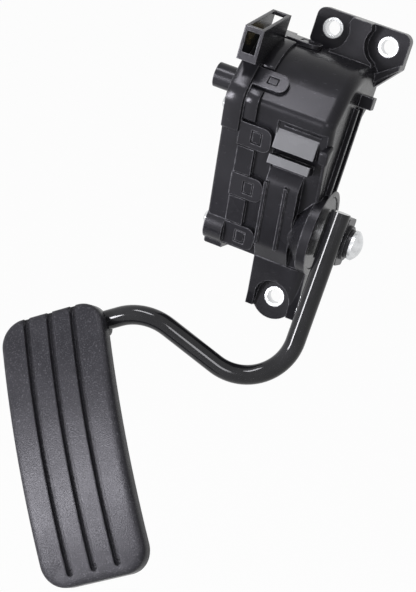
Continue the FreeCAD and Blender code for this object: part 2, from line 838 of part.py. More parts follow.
def make_sleeves():
    pieces = []
    for count, (x, z) in enumerate(HOLES):
        sizes = {"Radius": "sleeve_outer / 2", "Height": "flange_thick"}
        shell = primitive("Part::Cylinder", f"sleeve_{count}_outside", sizes, (x, "0", z), ABOUT_Y)
        sizes = {"Radius": "sleeve_bore / 2", "Height": "flange_thick"}
        hole = primitive("Part::Cylinder", f"sleeve_{count}_bore", sizes, (x, "0", z), ABOUT_Y)
        pieces.append(cut(f"sleeve_{count}", shell, [hole]))
    group("mounting_sleeves", pieces)


def make_cover_screws():
    pieces = []
    for name, (y, z) in SCREWS.items():
        head = cylinder_x(name + "_screw_head", "-cover_end - screw_head_height", "-cover_end", y, z,
                          "screw_head_radius")
        shank = cylinder_x(name + "_screw_shank", "-cover_end", "-cover_end + screw_length", y, z, "screw_radius")
        pieces.append(fuse(name + "_screw", [head, shank]))
    group("cover_screws", pieces)


# Pivot

def make_pivot():
    shoulder = "-spring_room_left + running_gap"
    groove_left = f"{PARTITION_LEFT} - 2 * circlip_thick"
    groove_right = f"{PARTITION_LEFT} - circlip_thick"
    core = fuse("shaft_core", [
        cylinder_x("shaft_main", shoulder, "shaft_end", *PIVOT, "shaft_radius"),
        cylinder_x("shaft_tail", "-tail_reach", shoulder, *PIVOT, "tail_radius"),
    ])
    neck = "tail_radius - circlip_groove"
    groove = tube_x("groove", groove_left, groove_right, *PIVOT, "2 * tail_radius", neck)
    thread = cylinder_x("shaft_thread", "shaft_end - bolt_grip", "shaft_end", *PIVOT, "bolt_radius + seat_gap")
    keep(cut("pivot_shaft", core, [groove, thread, lever_pin("shaft_pin_way", "seat_gap")]), "pivot_shaft")
    ring = tube_x("circlip_ring", f"{groove_left} + running_gap", f"{groove_right} - running_gap", *PIVOT,
                  f"{neck} + circlip_wall", f"{neck} + seat_gap")
    mouth = box("circlip_mouth", (groove_left, "-pivot_depth - circlip_wall / 2", "-pivot_drop - 2 * tail_radius"),
                (groove_right, "-pivot_depth + circlip_wall / 2", "-pivot_drop"))
    keep(cut("shaft_circlip", ring, [mouth]), "shaft_circlip")
    keep(tube_x("bush_left", PARTITION_LEFT, "-spring_room_left", *PIVOT,
                "tail_radius + bush_wall", "tail_radius + running_gap"), "bush_left")
    keep(tube_x("bush_right", "spring_room_right", DRUM_FLOOR, *PIVOT,
                "shaft_radius + bush_wall", "shaft_radius + running_gap"), "bush_right")
    thrust = ("shaft_radius + thrust_wall", "shaft_radius + running_gap")
    group("thrust_washers", [
        tube_x("thrust_left", "-spring_room_left", "-spring_room_left + thrust_thick", *PIVOT, *thrust),
        tube_x("thrust_right", "spring_room_right - thrust_thick", "spring_room_right", *PIVOT, *thrust),
    ])
    plate_left = f"{DRUM_FLOOR} + side_gap"
    keep(tube_x("drum_plate", plate_left, f"{plate_left} + drum_plate_thick", *PIVOT,
                "drum_radius - drum_rim - side_gap", "shaft_radius + seat_gap"), "drum_plate")
    keep(tube_x("sensor_rotor", "-tail_reach", "-tail_reach + rotor_thick", *PIVOT,
                "rotor_radius", "tail_radius + seat_gap"), "sensor_rotor")


def lever_pin(name, gap):
    """Upright pin through the lever's hub and the shaft."""
    span = f"2 * ({LEVER_HUB})"
    return primitive("Part::Cylinder", name, {"Radius": f"pin_radius + {gap}", "Height": span},
                     ("-spring_room_left / 2", "-pivot_depth", f"-pivot_drop - {LEVER_HUB}"))


def make_lever():
    left = "-spring_room_left + thrust_thick + running_gap"
    right = "spring_room_right - thrust_thick - running_gap"
    hub = cylinder_x("lever_hub", left, right, *PIVOT, LEVER_HUB)
    arm = box("lever_arm", (left, "-lever_back - lever_thick", "-pivot_drop"), (right, "-lever_back", "-lever_top"))
    bore = cylinder_x("lever_bore", left, right, *PIVOT, "shaft_radius + seat_gap")
    solid = fuse("lever_solid", [hub, arm])
    keep(cut("spring_lever", solid, [bore, lever_pin("lever_pin_way", "seat_gap")]), "spring_lever")
    keep(lever_pin("lever_pin", "0"), "lever_pin")
    bumper = box("idle_bumper",
                 (f"{SPRING_MIDDLE} - bumper_width / 2", "-lever_back", "-spring_drop - bumper_height / 2"),
                 (f"{SPRING_MIDDLE} + bumper_width / 2", "-lever_back + bumper_thick",
                  "-spring_drop + bumper_height / 2"))
    keep(bumper, "idle_bumper")


def make_spring(node, radius, wire, turns):
    """Compression spring between the front seat and the lever, with ends ground flat."""
    front, back = number("-spring_seat_depth"), number("-lever_back - lever_thick")
    free = back - front
    coil, thick = number(radius), number(wire)
    pitch = free / number(turns)
    helix = Part.makeHelix(pitch, free, coil)
    start = helix.Edges[0].firstVertex().Point
    section = Part.Wire(Part.makeCircle(thick / 2, start, Vector(0, 1, 0)))
    coils = Part.Wire(helix.Edges).makePipeShell([section], True, True)
    reach = coil + thick
    room = Part.makeBox(2 * reach, 2 * reach, free, Vector(-reach, -reach, 0))
    spring = doc.addObject("Part::Feature", node)
    spring.Shape = coils.common(room)
    place = Vector(number(SPRING_MIDDLE), back, number("-spring_drop"))
    spring.Placement = Placement(place, ABOUT_Y)
    keep(spring, node)


# Arm

def make_arm():
    """Block on the shaft's end, washers and bolt, all about the pivot."""
    block_right = "shaft_end + block_thick"
    body = new_body("arm_block")
    front = "-block_front"
    pad_x(body, "block", "shaft_end", block_right, [
        (front, "block_height / 2", "block_corner"),
        (front, "-block_height / 2", "block_corner"),
        ("block_back", "-block_height / 2", "block_corner"),
        ("block_back", "block_height / 2", "block_corner"),
    ])
    bore_x(body, "bolt_way", "shaft_end", block_right, "0", "0", "bolt_radius + running_gap")
    body.Placement = Placement(Vector(0, number(PIVOT[0]), number(PIVOT[1])),
                               Rotation(Vector(1, 0, 0), -number("arm_lean_angle")))
    washer_right = f"{block_right} + washer_thick"
    head_left = f"{washer_right} + lock_washer_thick"
    keep(tube_x("bolt_washer", block_right, washer_right, *PIVOT, "washer_radius", "bolt_radius + running_gap"),
         "bolt_washer")
    ring = tube_x("lock_ring", washer_right, head_left, *PIVOT, "lock_washer_radius", "bolt_radius + running_gap")
    split = box("lock_split", (washer_right, "-pivot_depth - washer_thick / 2", "-pivot_drop"),
                (head_left, "-pivot_depth + washer_thick / 2", "-pivot_drop + 2 * lock_washer_radius"))
    keep(cut("lock_washer", ring, [split]), "lock_washer")
    make_bolt(head_left)


def make_bolt(head_left):
    """Bolt with a domed head, turned about the pivot."""
    body = new_body("pivot_bolt")
    sketch = sketch_on(body, "bolt_profile", "XY_Plane")
    tip = "shaft_end - bolt_grip + washer_thick"
    rim = f"{head_left} + bolt_rim"
    top = f"{head_left} + bolt_head_height"
    points = [(tip, "0"), (tip, "bolt_radius"), (head_left, "bolt_radius"), (head_left, "bolt_head_radius"),
              (rim, "bolt_head_radius"), (top, "0")]
    spots = [Vector(number(x), number(y), 0) for x, y in points]
    lines = [sketch.addGeometry(Part.LineSegment(a, b)) for a, b in zip(spots[:4], spots[1:5])]
    rise = spots[5].x - spots[4].x
    dome = (spots[4].y ** 2 + rise ** 2) / (2 * rise)
    centre = Vector(spots[5].x - dome, 0, 0)
    sweep = math.atan2(spots[4].y, spots[4].x - centre.x)
    arc = sketch.addGeometry(Part.ArcOfCircle(Part.Circle(centre, Vector(0, 0, 1), dome), 0, sweep))
    axis = sketch.addGeometry(Part.LineSegment(spots[5], spots[0]))
    rules = [(Sketcher.Constraint("Coincident", a, 2, b, 1), None) for a, b in zip(lines, lines[1:])]
    rules.append((Sketcher.Constraint("Coincident", lines[3], 2, arc, 2), None))
    rules.append((Sketcher.Constraint("Coincident", arc, 1, axis, 1), None))
    rules.append((Sketcher.Constraint("Coincident", axis, 2, lines[0], 1), None))
    for line, (x, y) in zip(lines, points):
        rules += place_rules(line, 1, x, y)
    rules += place_rules(lines[3], 2, *points[4])
    rules += place_rules(axis, 1, *points[5])
    rules.append((Sketcher.Constraint("PointOnObject", arc, 3, -1), None))
    constrain(sketch, rules)
    turned = body.newObject("PartDesign::Revolution", "bolt_turned")
    turned.Profile = sketch
    turned.ReferenceAxis = (sketch, ["H_Axis"])
    turned.Angle = 360
    bind(body, {"Placement.Base.y": PIVOT[0], "Placement.Base.z": PIVOT[1]})


def pad_place():
    """Placement of the pad: x across it, y up along it, z out of its face."""
    tilt = Rotation(Vector(0, 1, 0), -number("pad_tilt_angle"))
    upright = Rotation(Vector(1, 0, 0), 90 - number("pad_rake_angle"))
    centre = Vector(number("-pad_side"), number("-pad_depth"), number("-pad_drop"))
    return Placement(centre, tilt.multiply(upright))


def rod_route():
    """Corners of the rod's centre line, from its top end to its end in the pad."""
    lean = math.radians(number("arm_lean_angle"))
    ahead = number("block_front + rod_radius + seat_gap")
    pivot = Vector(number("rod_side"), number(PIVOT[0]), number(PIVOT[1]))
    down = Vector(0, -math.sin(lean), -math.cos(lean))
    forward = Vector(0, -math.cos(lean), math.sin(lean))
    line = pivot + forward * ahead
    pad = pad_place()
    behind = -number("pad_thick + pad_socket_behind")
    rise = number("pad_socket_rise")
    end = pad.multVec(Vector(-number("pad_socket_left"), rise, behind))
    turn = pad.multVec(Vector(number("rod_end_run") - number("pad_socket_left"), rise, behind))
    return [line - down * number("rod_top_rise"), line + down * number("rod_corner_fall"), turn, end]


def make_rod():
    """Round bar along straight runs joined by tangent arcs."""
    points = rod_route()
    radius = number("rod_bend_radius")
    edges = []
    last = points[0]
    for before, corner, after in zip(points, points[1:], points[2:]):
        back = (before - corner).normalize()
        ahead = (after - corner).normalize()
        half = back.getAngle(ahead) / 2
        setback = radius / math.tan(half)
        middle = (back + ahead).normalize()
        inner = corner + middle * (radius / math.sin(half) - radius)
        edges.append(Part.LineSegment(last, corner + back * setback).toShape())
        edges.append(Part.Arc(corner + back * setback, inner, corner + ahead * setback).toShape())
        last = corner + ahead * setback
    edges.append(Part.LineSegment(last, points[-1]).toShape())
    section = Part.Wire(Part.makeCircle(number("rod_radius"), points[0], points[1] - points[0]))
    rod = doc.addObject("Part::Feature", "pedal_rod")
    rod.Shape = Part.Wire(edges).makePipeShell([section], True, False)
    keep(rod, "pedal_rod")


# Pad

def strip(sketch, low, high, outer, inner):
    """Arched strip of the pad's side outline, from low to high along it, between two depths."""
    bow = number(BOW)
    hub = Vector(0, -bow, 0)

    def arc(depth):
        reach = bow - depth
        first = math.acos(number(high) / reach)
        last = math.acos(number(low) / reach)
        return Part.ArcOfCircle(Part.Circle(hub, Vector(0, 0, 1), reach), first, last), reach, first, last

    def spot(reach, angle):
        return hub + Vector(reach * math.cos(angle), reach * math.sin(angle), 0)

    front, far, a0, a1 = arc(number(outer))
    rear, near, b0, b1 = arc(number(inner))
    shapes = [front, Part.LineSegment(spot(far, a1), spot(near, b1)), rear,
              Part.LineSegment(spot(near, b0), spot(far, a0))]
    ids = [sketch.addGeometry(shape) for shape in shapes]
    rules = [
        (Sketcher.Constraint("Coincident", ids[0], 2, ids[1], 1), None),
        (Sketcher.Constraint("Coincident", ids[1], 2, ids[2], 2), None),
        (Sketcher.Constraint("Coincident", ids[2], 1, ids[3], 1), None),
        (Sketcher.Constraint("Coincident", ids[3], 2, ids[0], 1), None),
        (Sketcher.Constraint("Radius", ids[0], far), f"{BOW} - ({outer})"),
        (Sketcher.Constraint("Radius", ids[2], near), f"{BOW} - ({inner})"),
    ]
    rules += place_rules(ids[0], 3, "0", f"-{BOW}")
    rules += place_rules(ids[2], 3, "0", f"-{BOW}")
    rules.append((Sketcher.Constraint("DistanceX", -1, 1, ids[0], 1, number(high)), high))
    rules.append((Sketcher.Constraint("DistanceX", -1, 1, ids[0], 2, number(low)), low))
    rules.append((Sketcher.Constraint("DistanceX", -1, 1, ids[2], 1, number(high)), high))
    rules.append((Sketcher.Constraint("DistanceX", -1, 1, ids[2], 2, number(low)), low))
    constrain(sketch, rules)
    return sketch


def make_pad():
    body = new_body("pedal_pad")
    top, bottom = "pad_length / 2", "-pad_length / 2"
    left = "-pad_width / 2"
    blank = strip(sketch_on(body, "pad_blank", "YZ_Plane", left), bottom, top, "0", "pad_thick")
    plate = pad(body, blank, "pad_width")
    corners = round_edges(body, plate, "pad_corners", "pad_corner", pad_corner_edges)
    round_edges(body, corners, "pad_face_edge", "pad_edge", pad_face_edges)
    axle = ("pad_socket_rise", "-pad_thick - pad_socket_behind")
    socket_radius = "rod_radius + pad_socket_wall"
    boss_x(body, "socket_boss", "-pad_socket_left - pad_socket_wall", "pad_socket_right", *axle, socket_radius)
    pad_x(body, "socket_web", "-pad_socket_left - pad_socket_wall", "pad_socket_right", [
        (f"{axle[0]} - ({socket_radius})", axle[1]),
        (f"{axle[0]} - ({socket_radius})", "-pad_thick"),
        (f"{axle[0]} + rod_radius", "-pad_thick - pad_skin"),
        (f"{axle[0]} + rod_radius", axle[1]),
    ])
    bore_x(body, "rod_way", "-pad_socket_left", "pad_width / 2 + wall", *axle, "rod_radius + seat_gap")
    room_width = "(pad_width - 3 * pad_border) / 2"
    low = "-pad_length / 2 + pad_corner"
    high = f"pad_socket_rise - ({socket_radius}) - pad_border"
    for count, side in enumerate((f"{left} + pad_border", "pad_border / 2")):
        room = strip(sketch_on(body, f"back_room_{count}", "YZ_Plane", side), low, high,
                     "pad_skin", "pad_thick + pad_rise")
        pocket(body, room, room_width, back=True)
    groove = strip(sketch_on(body, "groove", "YZ_Plane", "-groove_pitch - groove_width / 2"),
                   f"{bottom} + groove_end", f"{top} + wall", "-wall", "groove_depth")
    first = pocket(body, groove, "groove_width", back=True)
    end = f"({bottom} + groove_end)"
    tip = circle(sketch_on(body, "groove_tip", "XY_Plane"), "-groove_pitch", end, "groove_width / 2")
    last = pocket(body, tip, f"{BOW} - sqrt({BOW}^2 - {end}^2) + groove_depth")
    row = body.newObject("PartDesign::LinearPattern", "grooves")
    row.Originals = [first, last]
    row.Direction = (groove, ["N_Axis"])
    row.Occurrences = 3
    bind(row, {"Length": "2 * groove_pitch"})
    body.Tip = row
    body.Placement = pad_place()


def pad_corner_edges(shape):
    """The four short edges across the pad's thickness."""
    half = number("pad_width / 2")
    span = number("2 * pad_thick")
    return [edge for edge in shape.Edges if edge.Length < span
            and all(abs(abs(vertex.Point.x) - half) < TOUCH for vertex in edge.Vertexes)]


def pad_face_edges(shape):
    """Edges all round the arched front face."""
    bow = number(BOW)

    def on_face(vertex):
        return abs(math.hypot(vertex.Point.y, vertex.Point.z + bow) - bow) < TOUCH

    return [edge for edge in shape.Edges if all(on_face(vertex) for vertex in edge.Vertexes)]


def spine_side_edges(shape):
    """Edges of the spine's right face along its top, crown, nose and front."""
    side, relief = number("spine_right"), number("-relief_depth")
    return [edge for edge in shape.Edges if edge.CenterOfMass.y < relief - TOUCH
            and all(abs(vertex.Point.x - side) < TOUCH for vertex in edge.Vertexes)]


def band_end_edges(shape):
    """Edges round the cover's left face."""
    end = number("-cover_end")
    return [edge for edge in shape.Edges if all(abs(vertex.Point.x - end) < TOUCH for vertex in edge.Vertexes)]


def tongue_end_edges(shape):
    """Short edges across the thickness of each tongue's free end."""
    end, thick = number("-tongue_reach"), number("tongue_thick")
    return [edge for edge in shape.Edges if abs(edge.Length - thick) < TOUCH
            and all(abs(vertex.Point.x - end) < TOUCH for vertex in edge.Vertexes)]


def round_edges(body, base, name, radius, choose):
    doc.recompute()
    chosen = choose(base.Shape)
    names = [f"Edge{k + 1}" for k, edge in enumerate(base.Shape.Edges) if any(edge.isSame(e) for e in chosen)]
    fillet = body.newObject("PartDesign::Fillet", name)
    fillet.Base = (base, names)
    return bind(fillet, {"Radius": radius})


def check_document():
    """Stop on any failed object, broken solid or cut that took nothing away."""
    doc.recompute()
    for item in doc.Objects:
        if "Invalid" in item.State or "Error" in item.State:
            raise RuntimeError(f"{item.Label} did not build: {item.State}")
    for feature in cuts:
        if feature.Shape.Volume >= feature.BaseFeature.Shape.Volume - 1e-6:
            raise RuntimeError(f"{feature.Label} cuts nothing")
    for item in nodes:
        if item.Shape.isNull() or not item.Shape.isValid() or not item.Shape.Solids:
            raise RuntimeError(f"{item.Label} is not a sound solid")


def write_parts():
    os.makedirs("parts", exist_ok=True)
    for item in nodes:
        item.Shape.exportStep(f"parts/{item.Label}.step")
        print(f"{item.Label}: {len(item.Shape.Solids)} solids, {item.Shape.Volume:.1f} mm3")


make_housing()
make_cover()
make_terminals()
make_seal()
make_board()
make_sleeves()
make_cover_screws()
make_pivot()
make_lever()
make_spring("return_spring_outer", "outer_coil_radius", "outer_wire", "outer_turns")
make_spring("return_spring_inner", "inner_coil_radius", "inner_wire", "inner_turns")
make_arm()
make_rod()
make_pad()
check_document()
write_parts()
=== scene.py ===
import json
import math

import bmesh
import bpy
from mathutils import Matrix, Vector


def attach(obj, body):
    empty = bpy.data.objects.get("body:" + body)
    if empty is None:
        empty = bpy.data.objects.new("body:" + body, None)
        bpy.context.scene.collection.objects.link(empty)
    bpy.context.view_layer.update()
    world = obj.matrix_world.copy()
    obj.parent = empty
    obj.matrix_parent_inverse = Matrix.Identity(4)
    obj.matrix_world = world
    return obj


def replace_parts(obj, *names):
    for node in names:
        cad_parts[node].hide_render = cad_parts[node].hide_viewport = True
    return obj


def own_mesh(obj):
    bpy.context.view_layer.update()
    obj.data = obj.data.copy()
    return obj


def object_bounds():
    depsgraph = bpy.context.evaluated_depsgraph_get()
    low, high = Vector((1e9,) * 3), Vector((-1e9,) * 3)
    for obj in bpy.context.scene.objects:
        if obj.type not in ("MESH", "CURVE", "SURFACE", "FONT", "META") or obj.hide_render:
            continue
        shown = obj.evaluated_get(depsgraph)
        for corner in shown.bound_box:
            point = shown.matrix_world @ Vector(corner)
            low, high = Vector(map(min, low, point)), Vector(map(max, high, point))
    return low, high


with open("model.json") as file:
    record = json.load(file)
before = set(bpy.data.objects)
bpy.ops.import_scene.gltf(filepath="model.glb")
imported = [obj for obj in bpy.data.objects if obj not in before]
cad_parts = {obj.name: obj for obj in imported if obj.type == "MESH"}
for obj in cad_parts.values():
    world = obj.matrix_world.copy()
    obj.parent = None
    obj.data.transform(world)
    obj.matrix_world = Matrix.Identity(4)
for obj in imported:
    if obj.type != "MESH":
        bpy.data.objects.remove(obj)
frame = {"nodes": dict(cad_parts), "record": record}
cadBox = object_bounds()
scene = bpy.context.scene
scene.view_settings.view_transform = "Standard"
print("frame loaded with", len(frame["nodes"]), "nodes")


# shader helpers

def newShader(name):
    material = bpy.data.materials.new(name)
    material.use_nodes = True
    tree = material.node_tree
    tree.nodes.clear()
    surface = tree.nodes.new("ShaderNodeBsdfPrincipled")
    output = tree.nodes.new("ShaderNodeOutputMaterial")
    tree.links.new(surface.outputs["BSDF"], output.inputs["Surface"])
    place = tree.nodes.new("ShaderNodeTexCoord").outputs["Object"]
    return material, tree, surface, place


def noiseOf(tree, place, scale, detail=3.0, stretch=(1, 1, 1)):
    turned = tree.nodes.new("ShaderNodeMapping")
    turned.inputs["Scale"].default_value = stretch
    tree.links.new(place, turned.inputs["Vector"])
    noise = tree.nodes.new("ShaderNodeTexNoise")
    noise.inputs["Scale"].default_value = scale
    noise.inputs["Detail"].default_value = detail
    tree.links.new(turned.outputs["Vector"], noise.inputs["Vector"])
    return noise.outputs["Fac"]


def cellsOf(tree, place, scale):
    cells = tree.nodes.new("ShaderNodeTexVoronoi")
    cells.inputs["Scale"].default_value = scale
    tree.links.new(place, cells.inputs["Vector"])
    return cells.outputs["Distance"]


def remap(tree, value, span, result=(0, 1)):
    node = tree.nodes.new("ShaderNodeMapRange")
    for label, number in zip(("From Min", "From Max", "To Min", "To Max"), (*span, *result)):
        node.inputs[label].default_value = number
    tree.links.new(value, node.inputs["Value"])
    return node.outputs["Result"]


def mixColour(tree, factor, first, second):
    node = tree.nodes.new("ShaderNodeMix")
    node.data_type = "RGBA"
    colours = [s for s in node.inputs if s.type == "RGBA"]
    tree.links.new(factor, node.inputs[0])
    for socket, colour in zip(colours, (first, second)):
        if isinstance(colour, bpy.types.NodeSocket):
            tree.links.new(colour, socket)
        else:
            socket.default_value = (*colour, 1)
    return next(s for s in node.outputs if s.type == "RGBA")


def combine(tree, operation, first, second):
    node = tree.nodes.new("ShaderNodeMath")
    node.operation = operation
    for socket, value in zip(node.inputs, (first, second)):
        if isinstance(value, bpy.types.NodeSocket):
            tree.links.new(value, socket)
        else:
            socket.default_value = value
    return node.outputs["Value"]


def roundedNormal(tree, radius):
    bevel = tree.nodes.new("ShaderNodeBevel")
    bevel.inputs["Radius"].default_value = radius
    return bevel.outputs["Normal"]


# cosine of the rounded normal's lean on a flat face and on a full edge
edgeLean = (1.0, 0.75)


def softEdge(tree, radius):
    # rounded normals at sharp edges, and how far they lean from the flat face
    rounded = roundedNormal(tree, radius)
    geometry = tree.nodes.new("ShaderNodeNewGeometry")
    dot = tree.nodes.new("ShaderNodeVectorMath")
    dot.operation = "DOT_PRODUCT"
    tree.links.new(rounded, dot.inputs[0])
    tree.links.new(geometry.outputs["Normal"], dot.inputs[1])
    return rounded, remap(tree, dot.outputs["Value"], edgeLean)


def addBump(tree, height, strength, distance, normal=None):
    bump = tree.nodes.new("ShaderNodeBump")
    bump.inputs["Strength"].default_value = strength
    bump.inputs["Distance"].default_value = distance
    tree.links.new(height, bump.inputs["Height"])
    if normal is not None:
        tree.links.new(normal, bump.inputs["Normal"])
    return bump.outputs["Normal"]


def padPlace(tree, place, pad):
    # place across and along the pad, from its middle
    local = tree.nodes.new("ShaderNodeMapping")
    local.vector_type = "TEXTURE"
    local.inputs["Location"].default_value = pad["centre"]
    local.inputs["Rotation"].default_value = pad["turn"]
    tree.links.new(place, local.inputs["Vector"])
    parts = tree.nodes.new("ShaderNodeSeparateXYZ")
    tree.links.new(local.outputs["Vector"], parts.inputs["Vector"])
    return parts.outputs["X"], parts.outputs["Y"]


def padBorder(tree, place, pad, normal):
    # a rounder edge all along the pad's border
    across, along = padPlace(tree, place, pad)
    reach = pad["border"]
    masks = []
    for value, half in ((across, pad["halfWidth"]), (along, pad["halfLength"])):
        span = (half - reach, half - reach * pad["borderRun"])
        masks.append(remap(tree, combine(tree, "ABSOLUTE", value, 0), span))
    mix = tree.nodes.new("ShaderNodeMix")
    mix.data_type = "VECTOR"
    vectors = [s for s in mix.inputs if s.type == "VECTOR" and s.name in ("A", "B")]
    tree.links.new(combine(tree, "MAXIMUM", *masks), mix.inputs[0])
    tree.links.new(normal, vectors[0])
    tree.links.new(roundedNormal(tree, reach), vectors[1])
    return next(s for s in mix.outputs if s.type == "VECTOR")


def boxMask(tree, place, box):
    # one inside the box and nothing outside
    parts = tree.nodes.new("ShaderNodeSeparateXYZ")
    tree.links.new(place, parts.inputs["Vector"])
    mask = None
    for axis, low, high in zip("XYZ", box["low"], box["high"]):
        above = remap(tree, parts.outputs[axis], (low - box["soft"], low))
        below = remap(tree, parts.outputs[axis], (high, high + box["soft"]), (1, 0))
        both = combine(tree, "MULTIPLY", above, below)
        mask = both if mask is None else combine(tree, "MULTIPLY", mask, both)
    return mask


# finishes

def mouldedPlastic(name, look):
    material, tree, surface, place = newShader(name)
    wearDustAndGlint = look["wearDustAndGlint"]
    normal, edge = softEdge(tree, look["edgeRadius"])
    clouds = noiseOf(tree, place, look["cloudScale"], detail=4)
    colour = mixColour(tree, remap(tree, clouds, look["cloudSpan"]), look["dark"], look["pale"])
    pad = look.get("pad")
    if pad:
        normal = padBorder(tree, place, pad, normal)
        fleck = noiseOf(tree, place, pad["fleckScale"], detail=2)
        normal = addBump(tree, fleck, pad["fleckBump"], pad["fleckDepth"], normal)
        # light flecks on the grain are painted glints, drawn toward the pale colour
        glintFlecks = remap(tree, fleck, pad["glintFleckSpan"], (0, pad["glintFleckShare"]))
        colour = mixColour(tree, glintFlecks, colour, wearDustAndGlint)
    # painted light: a paler colour inside a box where the clip's face catches light
    zone = look.get("zone")
    if zone:
        colour = mixColour(tree, boxMask(tree, place, zone), colour, zone["colour"])
    # painted highlight and rubbed wear along the edges, broken up along their length
    patches = noiseOf(tree, place, look["edgeGlintRubScale"])
    edgeGlintAndRub = combine(tree, "MULTIPLY", edge, remap(tree, patches, look["edgeGlintRubSpan"], look["edgeGlintRubShares"]))
    colour = mixColour(tree, combine(tree, "MULTIPLY", edgeGlintAndRub, look["edgeLift"]), colour, wearDustAndGlint)
    # a few fine handling scratches
    streaks = noiseOf(tree, place, look["scratchScale"], detail=6, stretch=look["scratchStretch"])
    scratch = remap(tree, streaks, look["scratchSpan"], (0, look["scratchShare"]))
    colour = mixColour(tree, scratch, colour, wearDustAndGlint)
    tree.links.new(colour, surface.inputs["Base Color"])
    sheen = noiseOf(tree, place, look["roughScale"], detail=5)
    rough = remap(tree, sheen, look["roughSpan"], look["rough"])
    polish = combine(tree, "MULTIPLY", edge, look["edgePolish"])
    tree.links.new(combine(tree, "SUBTRACT", rough, polish), surface.inputs["Roughness"])
    surface.inputs["Specular IOR Level"].default_value = look["specular"]
    surface.inputs["Specular Tint"].default_value = (*look["tint"], 1)
    cells = cellsOf(tree, place, look["grainScale"])
    grain = addBump(tree, cells, look["grainBump"], look["grainDepth"], normal)
    waves = noiseOf(tree, place, look["flowScale"], detail=2)
    flow = addBump(tree, waves, look["flowBump"], look["flowDepth"], grain)
    tree.links.new(flow, surface.inputs["Normal"])
    return material


def platedMetal(name, look):
    material, tree, surface, place = newShader(name)
    normal, edge = softEdge(tree, look["edgeRadius"])
    blotch = noiseOf(tree, place, look["blotchScale"], detail=5)
    colour = mixColour(tree, remap(tree, blotch, look["blotchSpan"]), look["dark"], look["pale"])
    # painted highlight and rubbed wear: edges drawn toward the pale colour
    edgeGlintAndRub = combine(tree, "MULTIPLY", edge, look["edgeLift"])
    tree.links.new(mixColour(tree, edgeGlintAndRub, colour, look["wearDustAndGlint"]), surface.inputs["Base Color"])
    surface.inputs["Metallic"].default_value = look["metallic"]
    brushed = noiseOf(tree, place, look["brushScale"], detail=3, stretch=look["stretch"])
    rough = remap(tree, brushed, look["brushSpan"], look["rough"])
    tree.links.new(rough, surface.inputs["Roughness"])
    lines = addBump(tree, brushed, look["lineBump"], look["lineDepth"], normal)
    uneven = addBump(tree, blotch, look["blotchBump"], look["blotchDepth"], lines)
    tree.links.new(uneven, surface.inputs["Normal"])
    return material


def glossPaint(name, look):
    material, tree, surface, place = newShader(name)
    clouds = noiseOf(tree, place, look["cloudScale"], detail=3)
    colour = mixColour(tree, remap(tree, clouds, look["cloudSpan"]), look["dark"], look["pale"])
    specks = noiseOf(tree, place, look["dustScale"], detail=2)
    dust = remap(tree, specks, look["dustSpan"], (0, look["dustShare"]))
    tree.links.new(mixColour(tree, dust, colour, look["wearDustAndGlint"]), surface.inputs["Base Color"])
    sheen = noiseOf(tree, place, look["roughScale"], detail=4)
    rough = remap(tree, sheen, look["roughSpan"], look["rough"])
    tree.links.new(rough, surface.inputs["Roughness"])
    surface.inputs["Specular IOR Level"].default_value = look["specular"]
    # orange peel left by the powder coat
    waves = noiseOf(tree, place, look["peelScale"], detail=1)
    peel = addBump(tree, waves, look["peelBump"], look["peelDepth"])
    tree.links.new(peel, surface.inputs["Normal"])
    return material


# place and outline of the pad, shared by its finish, its moulding and its ribs
padForm = {
    "centre": (-0.05, -0.085, -0.2043), "tilt": 35.8, "pitch": 15.4,
    "halfLength": 0.0615, "halfWidth": 0.02575, "rise": 0.0058,
}
padTurn = (Matrix.Rotation(math.radians(-padForm["tilt"]), 3, "Y")
           @ Matrix.Rotation(math.radians(90 - padForm["pitch"]), 3, "X")).to_euler()
# radius of the pad's bowed face
bow = (padForm["halfLength"] ** 2 + padForm["rise"] ** 2) / (2 * padForm["rise"])

plasticLook = {
    "dark": (0.0072, 0.0071, 0.0083), "pale": (0.0118, 0.0116, 0.0135),
    # the pale colour serves scratches, dust and worn edges, and also the painted edge highlight
    # and the painted glints on the pad's grain
    "wearDustAndGlint": (0.3, 0.298, 0.32), "cloudScale": 55, "cloudSpan": (0.3, 0.7),
    "rough": (0.2, 0.3), "roughScale": 90, "roughSpan": (0.3, 0.7),
    "specular": 0.17, "tint": (0.96, 0.945, 1.0),
    "grainScale": 2600, "grainBump": 0.06, "grainDepth": 0.0002,
    "flowScale": 120, "flowBump": 0.12, "flowDepth": 0.0004,
    "edgeRadius": 0.0007, "edgeLift": 0.8, "edgePolish": 0.08,
    "edgeGlintRubScale": 420, "edgeGlintRubSpan": (0.35, 0.65), "edgeGlintRubShares": (0.25, 1),
    "scratchScale": 260, "scratchStretch": (1, 9, 1.4),
    "scratchSpan": (0.69, 0.73), "scratchShare": 0.12,
}
padLook = {
    **padForm, "turn": padTurn, "border": 0.0045, "borderRun": 0.5,
    # the fleck span and share set the light flecks painted as glints on the grain
    "fleckScale": 1700, "fleckBump": 0.34, "fleckDepth": 0.0002,
    "glintFleckSpan": (0.56, 0.7), "glintFleckShare": 0.12,
}
